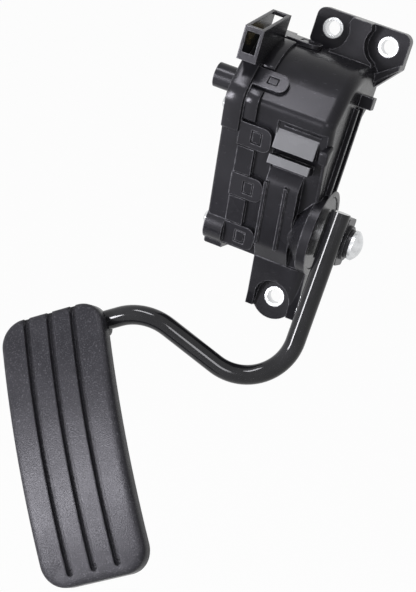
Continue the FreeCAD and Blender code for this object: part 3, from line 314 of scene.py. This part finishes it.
# painted light on the face of the cable clip and its lip: a paler colour that stands in for the
# light the face catches
clipPaintedLight = {
    "low": (-0.0122, -0.0513, -0.061), "high": (0.0077, -0.0494, -0.0446), "soft": 0.0002,
    "colour": (0.1, 0.101, 0.104),
}
metalLook = {
    "dark": (0.55, 0.56, 0.57), "pale": (0.78, 0.79, 0.8), "wearDustAndGlint": (0.9, 0.9, 0.9),
    "metallic": 1.0, "rough": (0.2, 0.36), "edgeRadius": 0.0003, "edgeLift": 0.5,
    "blotchScale": 240, "blotchSpan": (0.35, 0.7), "blotchBump": 0.08, "blotchDepth": 0.0003,
    "brushScale": 900, "brushSpan": (0.3, 0.7), "stretch": (1, 1, 12),
    "lineBump": 0.05, "lineDepth": 0.0001,
}
paintLook = {
    "dark": (0.006, 0.006, 0.0068), "pale": (0.011, 0.011, 0.012), "wearDustAndGlint": (0.12, 0.12, 0.12),
    "cloudScale": 70, "cloudSpan": (0.35, 0.65),
    "dustScale": 1500, "dustSpan": (0.72, 0.78), "dustShare": 0.3,
    "rough": (0.07, 0.11), "roughScale": 160, "roughSpan": (0.3, 0.7), "specular": 0.3,
    "peelScale": 420, "peelBump": 0.02, "peelDepth": 0.0003,
}
finishes = {
    "housing_plastic": mouldedPlastic("housingSatinBlack", {**plasticLook, "zone": clipPaintedLight}),
    "cover_plastic": mouldedPlastic("coverSatinBlack", {
        **plasticLook, "dark": (0.0084, 0.0082, 0.0096), "pale": (0.0136, 0.0134, 0.0155),
        "rough": (0.16, 0.26), "specular": 0.22}),
    "pad_plastic": mouldedPlastic("padGrainedBlack", {
        **plasticLook, "dark": (0.0135, 0.0133, 0.0154), "pale": (0.019, 0.0187, 0.0213),
        "rough": (0.25, 0.32), "specular": 0.13, "grainScale": 2800, "grainBump": 0.12,
        "edgeRadius": 0.001, "edgeLift": 0.04, "pad": padLook}),
    "drum_plastic": mouldedPlastic("drumGrey", {
        **plasticLook, "dark": (0.05, 0.05, 0.053), "pale": (0.075, 0.075, 0.08)}),
    "lever_plastic": mouldedPlastic("leverGlassFilled", {
        **plasticLook, "dark": (0.04, 0.04, 0.042), "pale": (0.09, 0.09, 0.092),
        "cloudScale": 700}),
    "stop_rubber": mouldedPlastic("stopRubber", {
        **plasticLook, "rough": (0.7, 0.85), "specular": 0.25, "edgeLift": 0.1}),
    "board_laminate": mouldedPlastic("boardGreen", {
        **plasticLook, "dark": (0.012, 0.09, 0.03), "pale": (0.02, 0.13, 0.05),
        "wearDustAndGlint": (0.2, 0.4, 0.22)}),
    "chip_epoxy": mouldedPlastic("chipEpoxy", {**plasticLook, "rough": (0.5, 0.65)}),
    "rod_paint": glossPaint("rodGlossBlack", paintLook),
    "zinc_steel": platedMetal("brightZinc", metalLook),
    "black_steel": platedMetal("blackOxideSteel", {
        **metalLook, "dark": (0.02, 0.02, 0.022), "pale": (0.045, 0.045, 0.048),
        "wearDustAndGlint": (0.3, 0.3, 0.3), "metallic": 0.6, "rough": (0.3, 0.45)}),
    "shaft_steel": platedMetal("groundSteel", {
        **metalLook, "dark": (0.42, 0.42, 0.43), "pale": (0.6, 0.6, 0.61)}),
    "spring_steel": platedMetal("drawnSpringWire", {
        **metalLook, "dark": (0.22, 0.22, 0.23), "pale": (0.4, 0.4, 0.42)}),
    "bearing_bronze": platedMetal("sinteredBronze", {
        **metalLook, "dark": (0.35, 0.22, 0.08), "pale": (0.55, 0.38, 0.16),
        "rough": (0.35, 0.5)}),
    "terminal_brass": platedMetal("tinnedBrass", {
        **metalLook, "dark": (0.55, 0.42, 0.18), "pale": (0.75, 0.66, 0.42)}),
}
for row in frame["record"]["subparts"]:
    meshData = frame["nodes"][row["node"]].data
    meshData.materials.clear()
    meshData.materials.append(finishes[row["material_slot"]])
print("finishes made:", len(finishes))


# mesh and geometry node helpers

# edges sharper than this stay sharp
creaseAngle = math.radians(35)


def addPiece(name, mesh, body):
    piece = bpy.data.objects.new(name, mesh)
    scene.collection.objects.link(piece)
    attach(piece, body)
    print(name, "made with", len(mesh.polygons), "faces")
    return piece


def pieceFromMesh(name, bm, slot, body):
    mesh = bpy.data.meshes.new(name)
    bm.to_mesh(mesh)
    bm.free()
    # normals kept from a CAD mesh no longer fit once it is merged
    kept = mesh.attributes.get("custom_normal")
    if kept:
        mesh.attributes.remove(kept)
    mesh.polygons.foreach_set("use_smooth", [True] * len(mesh.polygons))
    mesh.set_sharp_from_angle(angle=creaseAngle)
    mesh.materials.append(finishes[slot])
    return addPiece(name, mesh, body)


def skinLoops(bm, loops):
    # walls between rings of points, and a cap at each end
    for first, last in zip(loops, loops[1:]):
        for j in range(len(first)):
            following = (j + 1) % len(first)
            bm.faces.new((first[j], last[j], last[following], first[following]))
    bm.faces.new(loops[0])
    bm.faces.new(list(reversed(loops[-1])))


def newTree(name, inputs):
    tree = bpy.data.node_groups.new(name, "GeometryNodeTree")
    for label, kind in inputs.items():
        tree.interface.new_socket(label, in_out="INPUT", socket_type="NodeSocket" + kind)
    tree.interface.new_socket("Mesh", in_out="OUTPUT", socket_type="NodeSocketGeometry")
    return tree, tree.nodes.new("NodeGroupInput").outputs


def addNode(tree, kind, links=None, values=None, **properties):
    node = tree.nodes.new(kind)
    for label, value in properties.items():
        setattr(node, label, value)
    for label, value in (values or {}).items():
        node.inputs[label].default_value = value
    for label, socket in (links or {}).items():
        tree.links.new(socket, node.inputs[label])
    return node


def endTree(tree, mesh, material):
    real = addNode(tree, "GeometryNodeRealizeInstances", {"Geometry": mesh})
    smooth = addNode(tree, "GeometryNodeSetShadeSmooth", {"Geometry": real.outputs["Geometry"]},
                     {"Shade Smooth": False})
    painted = addNode(tree, "GeometryNodeSetMaterial", {"Geometry": smooth.outputs["Geometry"]},
                      {"Material": material})
    addNode(tree, "NodeGroupOutput", {"Mesh": painted.outputs["Geometry"]})


def pieceFromTree(name, tree, values, body, start=None):
    source = bpy.data.objects.new(name + "Source", start or bpy.data.meshes.new(name + "Start"))
    scene.collection.objects.link(source)
    modifier = source.modifiers.new("build", "NODES")
    modifier.node_group = tree
    items = tree.interface.items_tree
    sockets = {item.name: item.identifier for item in items if item.in_out == "INPUT"}
    for label, value in values.items():
        modifier[sockets[label]] = value
    graph = bpy.context.evaluated_depsgraph_get()
    mesh = bpy.data.meshes.new_from_object(source.evaluated_get(graph))
    mesh.name = name
    bpy.data.objects.remove(source)
    return addPiece(name, mesh, body)


# return springs, squeezed between the front seat and the lever

springs = {
    "pieces": {
        "returnSpringOuter": {
            "node": "return_spring_outer", "turns": 4.0, "coil": 0.0061, "wire": 0.0015},
        "returnSpringInner": {
            "node": "return_spring_inner", "turns": 5.0, "coil": 0.0036, "wire": 0.0012},
    },
    "seat": (-0.00075, -0.0389, -0.0535), "length": 0.0179, "closedEnds": 0.55,
    "pressed": 0.29, "coilSteps": 40, "wireSides": 10,
}


def springTree():
    tree, given = newTree("coilSpring", {
        "Turns": "Float", "Coil Radius": "Float", "Wire": "Float", "Length": "Float",
        "Closed Ends": "Float", "Seat": "Vector",
    })
    spiral = addNode(tree, "GeometryNodeCurveSpiral", {
        "Rotations": given["Turns"], "Start Radius": given["Coil Radius"],
        "End Radius": given["Coil Radius"],
    }, {"Resolution": springs["coilSteps"], "Height": 0.0})
    along = addNode(tree, "GeometryNodeSplineParameter").outputs["Factor"]
    eased = addNode(tree, "ShaderNodeMapRange", {"Value": along}, interpolation_type="SMOOTHSTEP")
    share = addNode(tree, "ShaderNodeMix", {
        0: given["Closed Ends"], 2: along, 3: eased.outputs["Result"]})
    free = addNode(tree, "ShaderNodeMath", {0: given["Length"], 1: given["Wire"]},
                   operation="SUBTRACT")
    half = addNode(tree, "ShaderNodeMath", {0: given["Wire"]}, {1: 0.5}, operation="MULTIPLY")
    climb = addNode(tree, "ShaderNodeMath", {
        0: share.outputs[0], 1: free.outputs[0], 2: half.outputs[0]}, operation="MULTIPLY_ADD")
    lift = addNode(tree, "ShaderNodeCombineXYZ", {"Z": climb.outputs[0]})
    wound = addNode(tree, "GeometryNodeSetPosition", {
        "Geometry": spiral.outputs[0], "Offset": lift.outputs[0]})
    ring = addNode(tree, "GeometryNodeCurvePrimitiveCircle", {"Radius": half.outputs[0]},
                   {"Resolution": springs["wireSides"]})
    wire = addNode(tree, "GeometryNodeCurveToMesh", {
        "Curve": wound.outputs[0], "Profile Curve": ring.outputs[0]}, {"Fill Caps": True})
    laid = addNode(tree, "GeometryNodeTransform", {
        "Geometry": wire.outputs[0], "Translation": given["Seat"],
    }, {"Rotation": (-math.pi / 2, 0, 0)})
    endTree(tree, laid.outputs[0], finishes["spring_steel"])
    return tree


coilTree = springTree()
for name, size in springs["pieces"].items():
    spring = pieceFromTree(name, coilTree, {
        "Turns": size["turns"], "Coil Radius": size["coil"], "Wire": size["wire"],
        "Length": springs["length"], "Closed Ends": springs["closedEnds"], "Seat": springs["seat"],
    }, "body")
    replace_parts(spring, size["node"])
    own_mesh(spring)


# plug terminals with tapered tips

terminals = {
    "count": 6, "pitch": 0.0028, "side": 0.0008, "taper": 0.45, "taperFrom": 0.92,
    "divisions": 16, "first": (-0.0325, -0.0295, 0.0), "top": -0.006, "bottom": -0.0274,
    "foot": 0.0013,
}


def terminalTree():
    tree, given = newTree("terminalRow", {
        "Count": "Int", "Pitch": "Float", "Side": "Float", "Tip": "Float", "Top": "Vector",
        "Bottom": "Vector", "Foot": "Vector", "First": "Vector",
    })
    square = addNode(tree, "GeometryNodeCurvePrimitiveQuadrilateral", {
        "Width": given["Side"], "Height": given["Side"]})
    upright = addNode(tree, "GeometryNodeCurvePrimitiveLine", {
        "Start": given["Bottom"], "End": given["Top"]})
    divided = addNode(tree, "GeometryNodeResampleCurve", {"Curve": upright.outputs[0]},
                      {"Count": terminals["divisions"]})
    along = addNode(tree, "GeometryNodeSplineParameter").outputs["Factor"]
    narrow = addNode(tree, "ShaderNodeMapRange", {"Value": along, "To Max": given["Tip"]},
                     {"From Min": terminals["taperFrom"], "From Max": 1.0, "To Min": 1.0})
    tapered = addNode(tree, "GeometryNodeSetCurveRadius", {
        "Curve": divided.outputs[0], "Radius": narrow.outputs["Result"]})
    post = addNode(tree, "GeometryNodeCurveToMesh", {
        "Curve": tapered.outputs[0], "Profile Curve": square.outputs[0],
        "Scale": narrow.outputs["Result"],
    }, {"Fill Caps": True})
    base = addNode(tree, "GeometryNodeCurvePrimitiveLine", {
        "Start": given["Bottom"], "End": given["Foot"]})
    foot = addNode(tree, "GeometryNodeCurveToMesh", {
        "Curve": base.outputs[0], "Profile Curve": square.outputs[0]}, {"Fill Caps": True})
    pin = addNode(tree, "GeometryNodeJoinGeometry")
    tree.links.new(post.outputs[0], pin.inputs[0])
    tree.links.new(foot.outputs[0], pin.inputs[0])
    back = addNode(tree, "ShaderNodeMath", {0: given["Pitch"]}, {1: -1.0}, operation="MULTIPLY")
    step = addNode(tree, "ShaderNodeCombineXYZ", {"Y": back.outputs[0]})
    row = addNode(tree, "GeometryNodeMeshLine", {
        "Count": given["Count"], "Start Location": given["First"], "Offset": step.outputs[0]})
    placed = addNode(tree, "GeometryNodeInstanceOnPoints", {
        "Points": row.outputs[0], "Instance": pin.outputs[0]})
    endTree(tree, placed.outputs[0], finishes["terminal_brass"])
    return tree


pins = pieceFromTree("plugTerminals", terminalTree(), {
    "Count": terminals["count"], "Pitch": terminals["pitch"], "Side": terminals["side"],
    "Tip": terminals["taper"], "Top": (0, 0, terminals["top"]),
    "Bottom": (0, 0, terminals["bottom"]), "Foot": (terminals["foot"], 0, terminals["bottom"]),
    "First": terminals["first"],
}, "body")
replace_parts(pins, "connector_pins")


# cover screws with a cross recess, set on the two bosses

coverScrews = {
    "places": [(-0.037, -0.047, -0.042), (-0.037, -0.0195, -0.099)], "size": 1.0, "seed": 4,
    "headRadius": 0.0032, "headHeight": 0.0031, "dome": 0.82, "domePower": 4, "faceRings": 14,
    "recess": 0.0011, "slotWidth": 0.0008, "slotReach": 0.0019,
    "slotSoft": 0.00012, "reachSoft": 0.0004,
    "shankRadius": 0.00145, "shankLength": 0.0188, "threadPitch": 0.0013, "threadDepth": 0.0003,
    "stepsPerTurn": 6, "around": 48,
}


def crossDepth(y, z):
    # depth of the recess at a point of the head's face
    reach = max(abs(y), abs(z))
    width = min(abs(y), abs(z))
    inside = (coverScrews["slotWidth"] / 2 - width) / coverScrews["slotSoft"]
    run = (coverScrews["slotReach"] - reach) / coverScrews["reachSoft"]
    return coverScrews["recess"] * min(1.0, max(0.0, inside)) * min(1.0, max(0.0, run))


def screwMesh():
    # rings from the middle of the face out to the rim, then down the threaded shank
    around, faceRings = coverScrews["around"], coverScrews["faceRings"]
    rim, high = coverScrews["headRadius"], coverScrews["headHeight"]
    length, pitch = coverScrews["shankLength"], coverScrews["threadPitch"]
    rings = []
    for k in range(1, faceRings + 1):
        share = k / faceRings
        fall = high * (1 - math.sqrt(1 - coverScrews["dome"] * share ** coverScrews["domePower"]))
        rings.append([(rim * share, high - fall, True)] * around)
    rings.append([(rim, 0.0, False)] * around)
    steps = int(length / pitch * coverScrews["stepsPerTurn"])
    for k in range(steps + 1):
        drop = length * k / steps
        ring = []
        for j in range(around):
            phase = drop / pitch - j / around
            crest = abs((phase % 1.0) * 2 - 1)
            radius = coverScrews["shankRadius"] - coverScrews["threadDepth"] * crest
            ring.append((radius, -drop, False))
        rings.append(ring)
    bm = bmesh.new()
    loops = []
    for ring in rings:
        loop = []
        for j, (radius, height, isFace) in enumerate(ring):
            turn = 2 * math.pi * j / around
            y, z = radius * math.cos(turn), radius * math.sin(turn)
            depth = crossDepth(y, z) if isFace else 0.0
            loop.append(bm.verts.new((-(height - depth), y, z)))
        loops.append(loop)
    skinLoops(bm, loops)
    bmesh.ops.recalc_face_normals(bm, faces=bm.faces)
    mesh = bpy.data.meshes.new("crossScrew")
    bm.to_mesh(mesh)
    bm.free()
    return mesh


def screwTree():
    tree, given = newTree("screwPlaces", {
        "Places": "Geometry", "Screw": "Object", "Size": "Float",
    })
    screw = addNode(tree, "GeometryNodeObjectInfo", {"Object": given["Screw"]})
    turn = addNode(tree, "FunctionNodeRandomValue", values={"Seed": coverScrews["seed"]},
                   data_type="FLOAT")
    turned = addNode(tree, "ShaderNodeCombineXYZ", {"X": turn.outputs[1]})
    placed = addNode(tree, "GeometryNodeInstanceOnPoints", {
        "Points": given["Places"], "Instance": screw.outputs["Geometry"],
        "Rotation": turned.outputs[0], "Scale": given["Size"]})
    endTree(tree, placed.outputs[0], finishes["zinc_steel"])
    return tree


screwShape = bpy.data.objects.new("crossScrewShape", screwMesh())
scene.collection.objects.link(screwShape)
places = bpy.data.meshes.new("screwPlaces")
places.from_pydata(coverScrews["places"], [], [])
screws = pieceFromTree("coverScrewPair", screwTree(), {
    "Screw": screwShape, "Size": coverScrews["size"],
}, "body", places)
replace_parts(screws, "cover_screws")
bpy.data.objects.remove(screwShape)


# raised straps that follow the side outline of the cover and of the housing's rim

sideOutline = {
    "slope": 0.5, "frontEnd": 0.08,
    # place of each corner, and how it shifts as the outline is offset
    "nose": ((-0.0555, -0.036), (-1.15, 0.06)),
    "crown": ((-0.04, -0.012), (-0.57, 0.96)),
    "top": ((-0.002, -0.009), (0, 1)),
}
rimStrap = {
    "left": -0.0284, "right": -0.022, "out": -0.0003, "nose": 0.0037, "crown": 0.0297,
    "high": 0.0021,
}
straps = {
    "pieces": [
        # side ends, offset of the base, corner radii, height, lowest and highest place
        {"left": -0.037, "right": -0.0286, "out": 0.002, "nose": 0.0088, "crown": 0.032,
         "high": 0.0016, "from": -0.0525, "to": -0.0195},
        {**rimStrap, "from": -0.0456, "to": -0.0313},
        {**rimStrap, "from": -0.0231, "to": -0.0112},
    ],
    "step": 0.0004, "arcSteps": 24, "round": 0.0006, "shoulder": 0.3, "leastWall": 0.0001,
    "endRun": 0.0014, "endHeight": 0.2,
}


def roundCorners(corners, radii):
    path = [corners[0]]
    steps = straps["arcSteps"]
    for before, corner, after, radius in zip(corners, corners[1:], corners[2:], radii):
        back, ahead = (before - corner).normalized(), (after - corner).normalized()
        half = back.angle(ahead) / 2
        reach = radius / math.tan(half)
        hub = corner + (back + ahead).normalized() * (radius / math.sin(half))
        first, last = corner + back * reach - hub, corner + ahead * reach - hub
        path += [hub + first.slerp(last, k / steps) * radius for k in range(steps + 1)]
    return path + [corners[-1]]


def onFront(drop, out):
    # a point of the sloping front, so far down and so far out of its face
    slope = sideOutline["slope"]
    lean = math.sqrt(1 + slope ** 2)
    noseY, noseZ = sideOutline["nose"][0]
    return Vector((noseY + slope * (drop + noseZ) - out / lean, -drop - out * slope / lean))


def sidePath(strap):
    corners = [onFront(sideOutline["frontEnd"], strap["out"])]
    for key in ("nose", "crown", "top"):
        place, shift = sideOutline[key]
        corners.append(Vector(place) + Vector(shift) * strap["out"])
    path = roundCorners(corners, (strap["nose"], strap["crown"]))
    even = [path[0]]
    for first, last in zip(path, path[1:]):
        count = max(1, round((last - first).length / straps["step"]))
        even += [first.lerp(last, (k + 1) / count) for k in range(count)]
    return [spot for spot in even if strap["from"] <= spot.y <= strap["to"]]


def sweepStrap(bm, strap):
    path = sidePath(strap)
    left, right = strap["left"], strap["right"]
    soft, run = straps["round"], straps["endRun"]
    inset = soft * straps["shoulder"]
    loops = []
    for k, spot in enumerate(path):
        ahead = (path[min(k + 1, len(path) - 1)] - path[max(k - 1, 0)]).normalized()
        outward = Vector((-ahead.y, ahead.x))
        near = min((spot - path[0]).length, (spot - path[-1]).length, run) / run
        high = strap["high"] * max(straps["endHeight"], math.sqrt(1 - (1 - near) ** 2))
        low = max(high - soft, straps["leastWall"])
        middle = (low + 2 * high) / 3
        ring = [(left, 0), (left, low), (left + inset, middle), (left + soft, high),
                (right - soft, high), (right - inset, middle), (right, low), (right, 0)]
        loops.append([bm.verts.new((x, *(spot + outward * rise))) for x, rise in ring])
    skinLoops(bm, loops)


strapMesh = bmesh.new()
for row in straps["pieces"]:
    sweepStrap(strapMesh, row)
bmesh.ops.recalc_face_normals(strapMesh, faces=strapMesh.faces)
pieceFromMesh("coverStraps", strapMesh, "cover_plastic", "body")


# small trim on the sloping front: a raised line, a lug beside the clip and the rib below it

frontTrim = [
    # side ends, first and last drop, base and the two tops, edge rounding
    {"across": (-0.0092, 0.0085), "drop": (0.0427, 0.0433), "base": -0.0014,
     "tops": (-0.0006, -0.0006), "soft": 0.0002},
    {"across": (0.0096, 0.014), "drop": (0.0464, 0.0526), "base": -0.0045,
     "tops": (0.0034, 0.0034), "soft": 0.0011},
    {"across": (0.0116, 0.013), "drop": (0.0522, 0.0715), "base": -0.0045,
     "tops": (0.0022, 0.0004), "soft": 0.0004},
]


def trimMesh():
    bm = bmesh.new()
    for trim in frontTrim:
        block = bmesh.new()
        bmesh.ops.create_cube(block, size=2)
        for vert in block.verts:
            end, far, high = (int(value > 0) for value in vert.co)
            level = trim["tops"][far] if high else trim["base"]
            vert.co = (trim["across"][end], trim["drop"][far], level)
        bmesh.ops.bevel(block, geom=block.edges[:], offset=trim["soft"], segments=3, profile=0.5,
                        affect="EDGES")
        for vert in block.verts:
            vert.co = (vert.co.x, *onFront(vert.co.y, vert.co.z))
        bmesh.ops.recalc_face_normals(block, faces=block.faces)
        shape = bpy.data.meshes.new("trimBlock")
        block.to_mesh(shape)
        block.free()
        bm.from_mesh(shape)
        bpy.data.meshes.remove(shape)
    return bm


pieceFromMesh("frontTrim", trimMesh(), "housing_plastic", "body")


# pad with rounder corners and deeper grooves than the plain solid

padFace = {
    "cornerWas": 0.007, "corner": 0.0115, "thick": 0.0072, "collarEnd": 0.0165,
    "groovePitch": 0.0118, "grooveReach": 0.0017, "depthWas": 0.0016, "depth": 0.0024,
    "depthSlack": 0.0002, "cuts": 5, "cutSlack": 1e-7, "merge": 1e-6,
}


def cornerShare(across, along):
    # how far a point of a corner is drawn in towards the corner's hub
    more = padFace["corner"] - padFace["cornerWas"]
    turn = math.atan2(along, across)
    c, s = math.cos(turn), math.sin(turn)
    if min(c, s) * padFace["corner"] <= more * max(c, s):
        reach = padFace["corner"] / max(c, s)
    else:
        middle = more * (c + s)
        reach = middle + math.sqrt(middle ** 2 - 2 * more ** 2 + padFace["cornerWas"] ** 2)
    return padFace["corner"] / reach


def reshapePad(spot):
    ring = math.hypot(spot.y, spot.z + bow)
    offGroove = min(abs(spot.x - k * padFace["groovePitch"]) for k in (-1, 0, 1))
    offFloor = abs(ring - bow + padFace["depthWas"])
    if offFloor < padFace["depthSlack"] and offGroove < padFace["grooveReach"]:
        share = (bow - padFace["depth"]) / ring
        spot = Vector((spot.x, spot.y * share, (spot.z + bow) * share - bow))
    across = abs(spot.x) - padForm["halfWidth"] + padFace["corner"]
    along = abs(spot.y) - padForm["halfLength"] + padFace["corner"]
    if across > 0 and along > 0 and ring > bow - padFace["thick"]:
        share = cornerShare(across, along)
        spot = Vector((spot.x - math.copysign(across * (1 - share), spot.x),
                       spot.y - math.copysign(along * (1 - share), spot.y), spot.z))
    elif along > 0 and ring <= bow - padFace["thick"]:
        # the rod's collar ends before the rounder corner
        spot = Vector((min(spot.x, padFace["collarEnd"]), spot.y, spot.z))
    return spot


def padMesh():
    node = frame["nodes"]["pedal_pad"]
    outward = Matrix.Translation(padForm["centre"]) @ padTurn.to_matrix().to_4x4()
    sides = ((Vector((1, 0, 0)), padForm["halfWidth"]), (Vector((0, 1, 0)), padForm["halfLength"]))
    more = padFace["corner"] - padFace["cornerWas"]
    bm = bmesh.new()
    bm.from_mesh(node.data)
    bmesh.ops.remove_doubles(bm, verts=bm.verts, dist=padFace["merge"])
    bm.transform(outward.inverted() @ node.matrix_world)
    for k in range(padFace["cuts"]):
        inset = padFace["corner"] - more * k / (padFace["cuts"] - 1)
        for axis, half in sides:
            for side in (-1, 1):
                whole = bm.verts[:] + bm.edges[:] + bm.faces[:]
                bmesh.ops.bisect_plane(bm, geom=whole, dist=padFace["cutSlack"],
                                       plane_co=axis * side * (half - inset), plane_no=axis)
    for vert in bm.verts:
        vert.co = reshapePad(vert.co)
    bm.transform(outward)
    return bm


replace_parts(pieceFromMesh("padMoulding", padMesh(), "pad_plastic", "pedal"), "pedal_pad")


# cross ribs in the hollow back of the pad

padRibs = {
    "low": -0.0485, "high": 0.0365, "count": 9, "width": 0.0468, "thick": 0.0012,
    "near": 0.0028, "far": 0.0062,
}


def ribTree():
    tree, given = newTree("padRibs", {
        "Count": "Int", "Arc Radius": "Float", "Start": "Float", "Sweep": "Float",
        "Rib Size": "Vector", "Hub": "Vector", "Pad Turn": "Rotation", "Pad Centre": "Vector",
    })
    index = addNode(tree, "GeometryNodeInputIndex").outputs[0]
    last = addNode(tree, "ShaderNodeMath", {0: given["Count"]}, {1: 1.0}, operation="SUBTRACT")
    share = addNode(tree, "ShaderNodeMath", {0: index, 1: last.outputs[0]}, operation="DIVIDE")
    angle = addNode(tree, "ShaderNodeMath", {
        0: share.outputs[0], 1: given["Sweep"], 2: given["Start"],
    }, operation="MULTIPLY_ADD").outputs[0]
    sine = addNode(tree, "ShaderNodeMath", {0: angle}, operation="SINE")
    cosine = addNode(tree, "ShaderNodeMath", {0: angle}, operation="COSINE")
    out = addNode(tree, "ShaderNodeCombineXYZ", {"Y": sine.outputs[0], "Z": cosine.outputs[0]})
    spot = addNode(tree, "ShaderNodeVectorMath", {0: out.outputs[0], "Scale": given["Arc Radius"]},
                   operation="SCALE")
    placed = addNode(tree, "ShaderNodeVectorMath", {0: spot.outputs[0], 1: given["Hub"]},
                     operation="ADD")
    row = addNode(tree, "GeometryNodePoints", {
        "Count": given["Count"], "Position": placed.outputs[0]})
    rib = addNode(tree, "GeometryNodeMeshCube", {"Size": given["Rib Size"]})
    lean = addNode(tree, "ShaderNodeMath", {0: angle}, {1: -1.0}, operation="MULTIPLY")
    leant = addNode(tree, "ShaderNodeCombineXYZ", {"X": lean.outputs[0]})
    ribs = addNode(tree, "GeometryNodeInstanceOnPoints", {
        "Points": row.outputs[0], "Instance": rib.outputs["Mesh"], "Rotation": leant.outputs[0]})
    laid = addNode(tree, "GeometryNodeTransform", {
        "Geometry": ribs.outputs[0], "Rotation": given["Pad Turn"],
        "Translation": given["Pad Centre"]})
    endTree(tree, laid.outputs[0], finishes["pad_plastic"])
    return tree


ribMiddle = bow - (padRibs["near"] + padRibs["far"]) / 2
ribStart = math.asin(padRibs["low"] / ribMiddle)
pieceFromTree("padBackRibs", ribTree(), {
    "Count": padRibs["count"], "Arc Radius": ribMiddle, "Start": ribStart,
    "Sweep": math.asin(padRibs["high"] / ribMiddle) - ribStart,
    "Rib Size": (padRibs["width"], padRibs["thick"], padRibs["far"] - padRibs["near"]),
    "Hub": (0, 0, -bow), "Pad Turn": padTurn, "Pad Centre": padForm["centre"],
}, "pedal")


# floor, world, lamps and camera

stageLook = {
    "floorDrop": 0.3, "floorSize": 30.0, "floorColour": (0.9, 0.9, 0.9), "shadowShare": 0.03,
    "worldLight": 0.13, "lampColour": (0.965, 0.96, 1.0), "aim": (-0.01, -0.04, -0.13),
    "lamps": {
        # name: place, width, height and power
        "keyWide": ((-0.75, -0.86, -0.56), 0.75, 0.36, 20.0),
        "padSheen": ((-0.6, -0.88, -0.45), 0.28, 0.42, 6.2),
        "rodGlint": ((-0.5, -0.95, -0.2), 0.22, 0.24, 7.0),
        "topStrip": ((-0.285, -0.645, 0.75), 0.6, 0.2, 7.0),
        "rightFront": ((0.496, -0.99, 0.1), 0.25, 0.35, 3.2),
    },
}
view = {
    "place": (0.2061, -0.8886, 0.0819), "azimuth": 15.0, "elevation": 13.5, "roll": 18.0,
    "focalPixels": 2000.0, "imageHeight": 592.0, "sensor": 36.0, "nearest": 0.01,
}


def seenRays(tree):
    path = tree.nodes.new("ShaderNodeLightPath")
    both = combine(tree, "MAXIMUM", path.outputs["Is Camera Ray"], path.outputs["Is Glossy Ray"])
    return combine(tree, "MAXIMUM", both, path.outputs["Is Transmission Ray"])


def makeFloor():
    half = stageLook["floorSize"] / 2
    level = cadBox[0].z - stageLook["floorDrop"]
    mesh = bpy.data.meshes.new("floor")
    corners = [(x * half, y * half, level) for x, y in ((-1, -1), (1, -1), (1, 1), (-1, 1))]
    mesh.from_pydata(corners, [], [(0, 1, 2, 3)])
    material = bpy.data.materials.new("paleFloor")
    material.use_nodes = True
    tree = material.node_tree
    tree.nodes.clear()
    paint = tree.nodes.new("ShaderNodeBsdfDiffuse")
    paint.inputs["Color"].default_value = (*stageLook["floorColour"], 1)
    glow = tree.nodes.new("ShaderNodeEmission")
    pale = tree.nodes.new("ShaderNodeMixShader")
    pale.inputs["Fac"].default_value = stageLook["shadowShare"]
    tree.links.new(glow.outputs[0], pale.inputs[1])
    tree.links.new(paint.outputs[0], pale.inputs[2])
    shown = tree.nodes.new("ShaderNodeMixShader")
    tree.links.new(seenRays(tree), shown.inputs["Fac"])
    tree.links.new(paint.outputs[0], shown.inputs[1])
    tree.links.new(pale.outputs[0], shown.inputs[2])
    output = tree.nodes.new("ShaderNodeOutputMaterial")
    tree.links.new(shown.outputs[0], output.inputs["Surface"])
    mesh.materials.append(material)
    floor = bpy.data.objects.new("floor", mesh)
    scene.collection.objects.link(floor)


def makeWorld():
    world = bpy.data.worlds.new("studio")
    scene.world = world
    world.use_nodes = True
    tree = world.node_tree
    tree.nodes.clear()
    soft = tree.nodes.new("ShaderNodeBackground")
    soft.inputs["Strength"].default_value = stageLook["worldLight"]
    white = tree.nodes.new("ShaderNodeBackground")
    for node in (soft, white):
        node.inputs["Color"].default_value = (1, 1, 1, 1)
    mix = tree.nodes.new("ShaderNodeMixShader")
    tree.links.new(seenRays(tree), mix.inputs["Fac"])
    tree.links.new(soft.outputs[0], mix.inputs[1])
    tree.links.new(white.outputs[0], mix.inputs[2])
    output = tree.nodes.new("ShaderNodeOutputWorld")
    tree.links.new(mix.outputs[0], output.inputs["Surface"])


def makeLamps():
    for name, (place, width, height, power) in stageLook["lamps"].items():
        lamp = bpy.data.lights.new(name, "AREA")
        lamp.shape = "RECTANGLE"
        lamp.size = width
        lamp.size_y = height
        lamp.energy = power
        lamp.color = stageLook["lampColour"]
        holder = bpy.data.objects.new(name, lamp)
        holder.location = place
        towards = Vector(stageLook["aim"]) - Vector(place)
        holder.rotation_euler = towards.to_track_quat("-Z", "Y").to_euler()
        scene.collection.objects.link(holder)


def makeCamera():
    a, e, r = (math.radians(view[key]) for key in ("azimuth", "elevation", "roll"))
    back = Vector((math.sin(a) * math.cos(e), -math.cos(a) * math.cos(e), math.sin(e)))
    level = Vector((math.cos(a), math.sin(a), 0))
    upright = back.cross(level)
    right = level * math.cos(r) + upright * math.sin(r)
    up = upright * math.cos(r) - level * math.sin(r)
    camera = bpy.data.cameras.new("photoCamera")
    camera.sensor_width = view["sensor"]
    camera.lens = view["focalPixels"] / view["imageHeight"] * view["sensor"]
    camera.clip_start = view["nearest"]
    holder = bpy.data.objects.new("photoCamera", camera)
    turn = Matrix((right, up, back)).transposed().to_4x4()
    holder.matrix_world = Matrix.Translation(view["place"]) @ turn
    scene.collection.objects.link(holder)
    scene.camera = holder


makeFloor()
makeWorld()
makeLamps()
makeCamera()
print("stage, lamps and camera set")
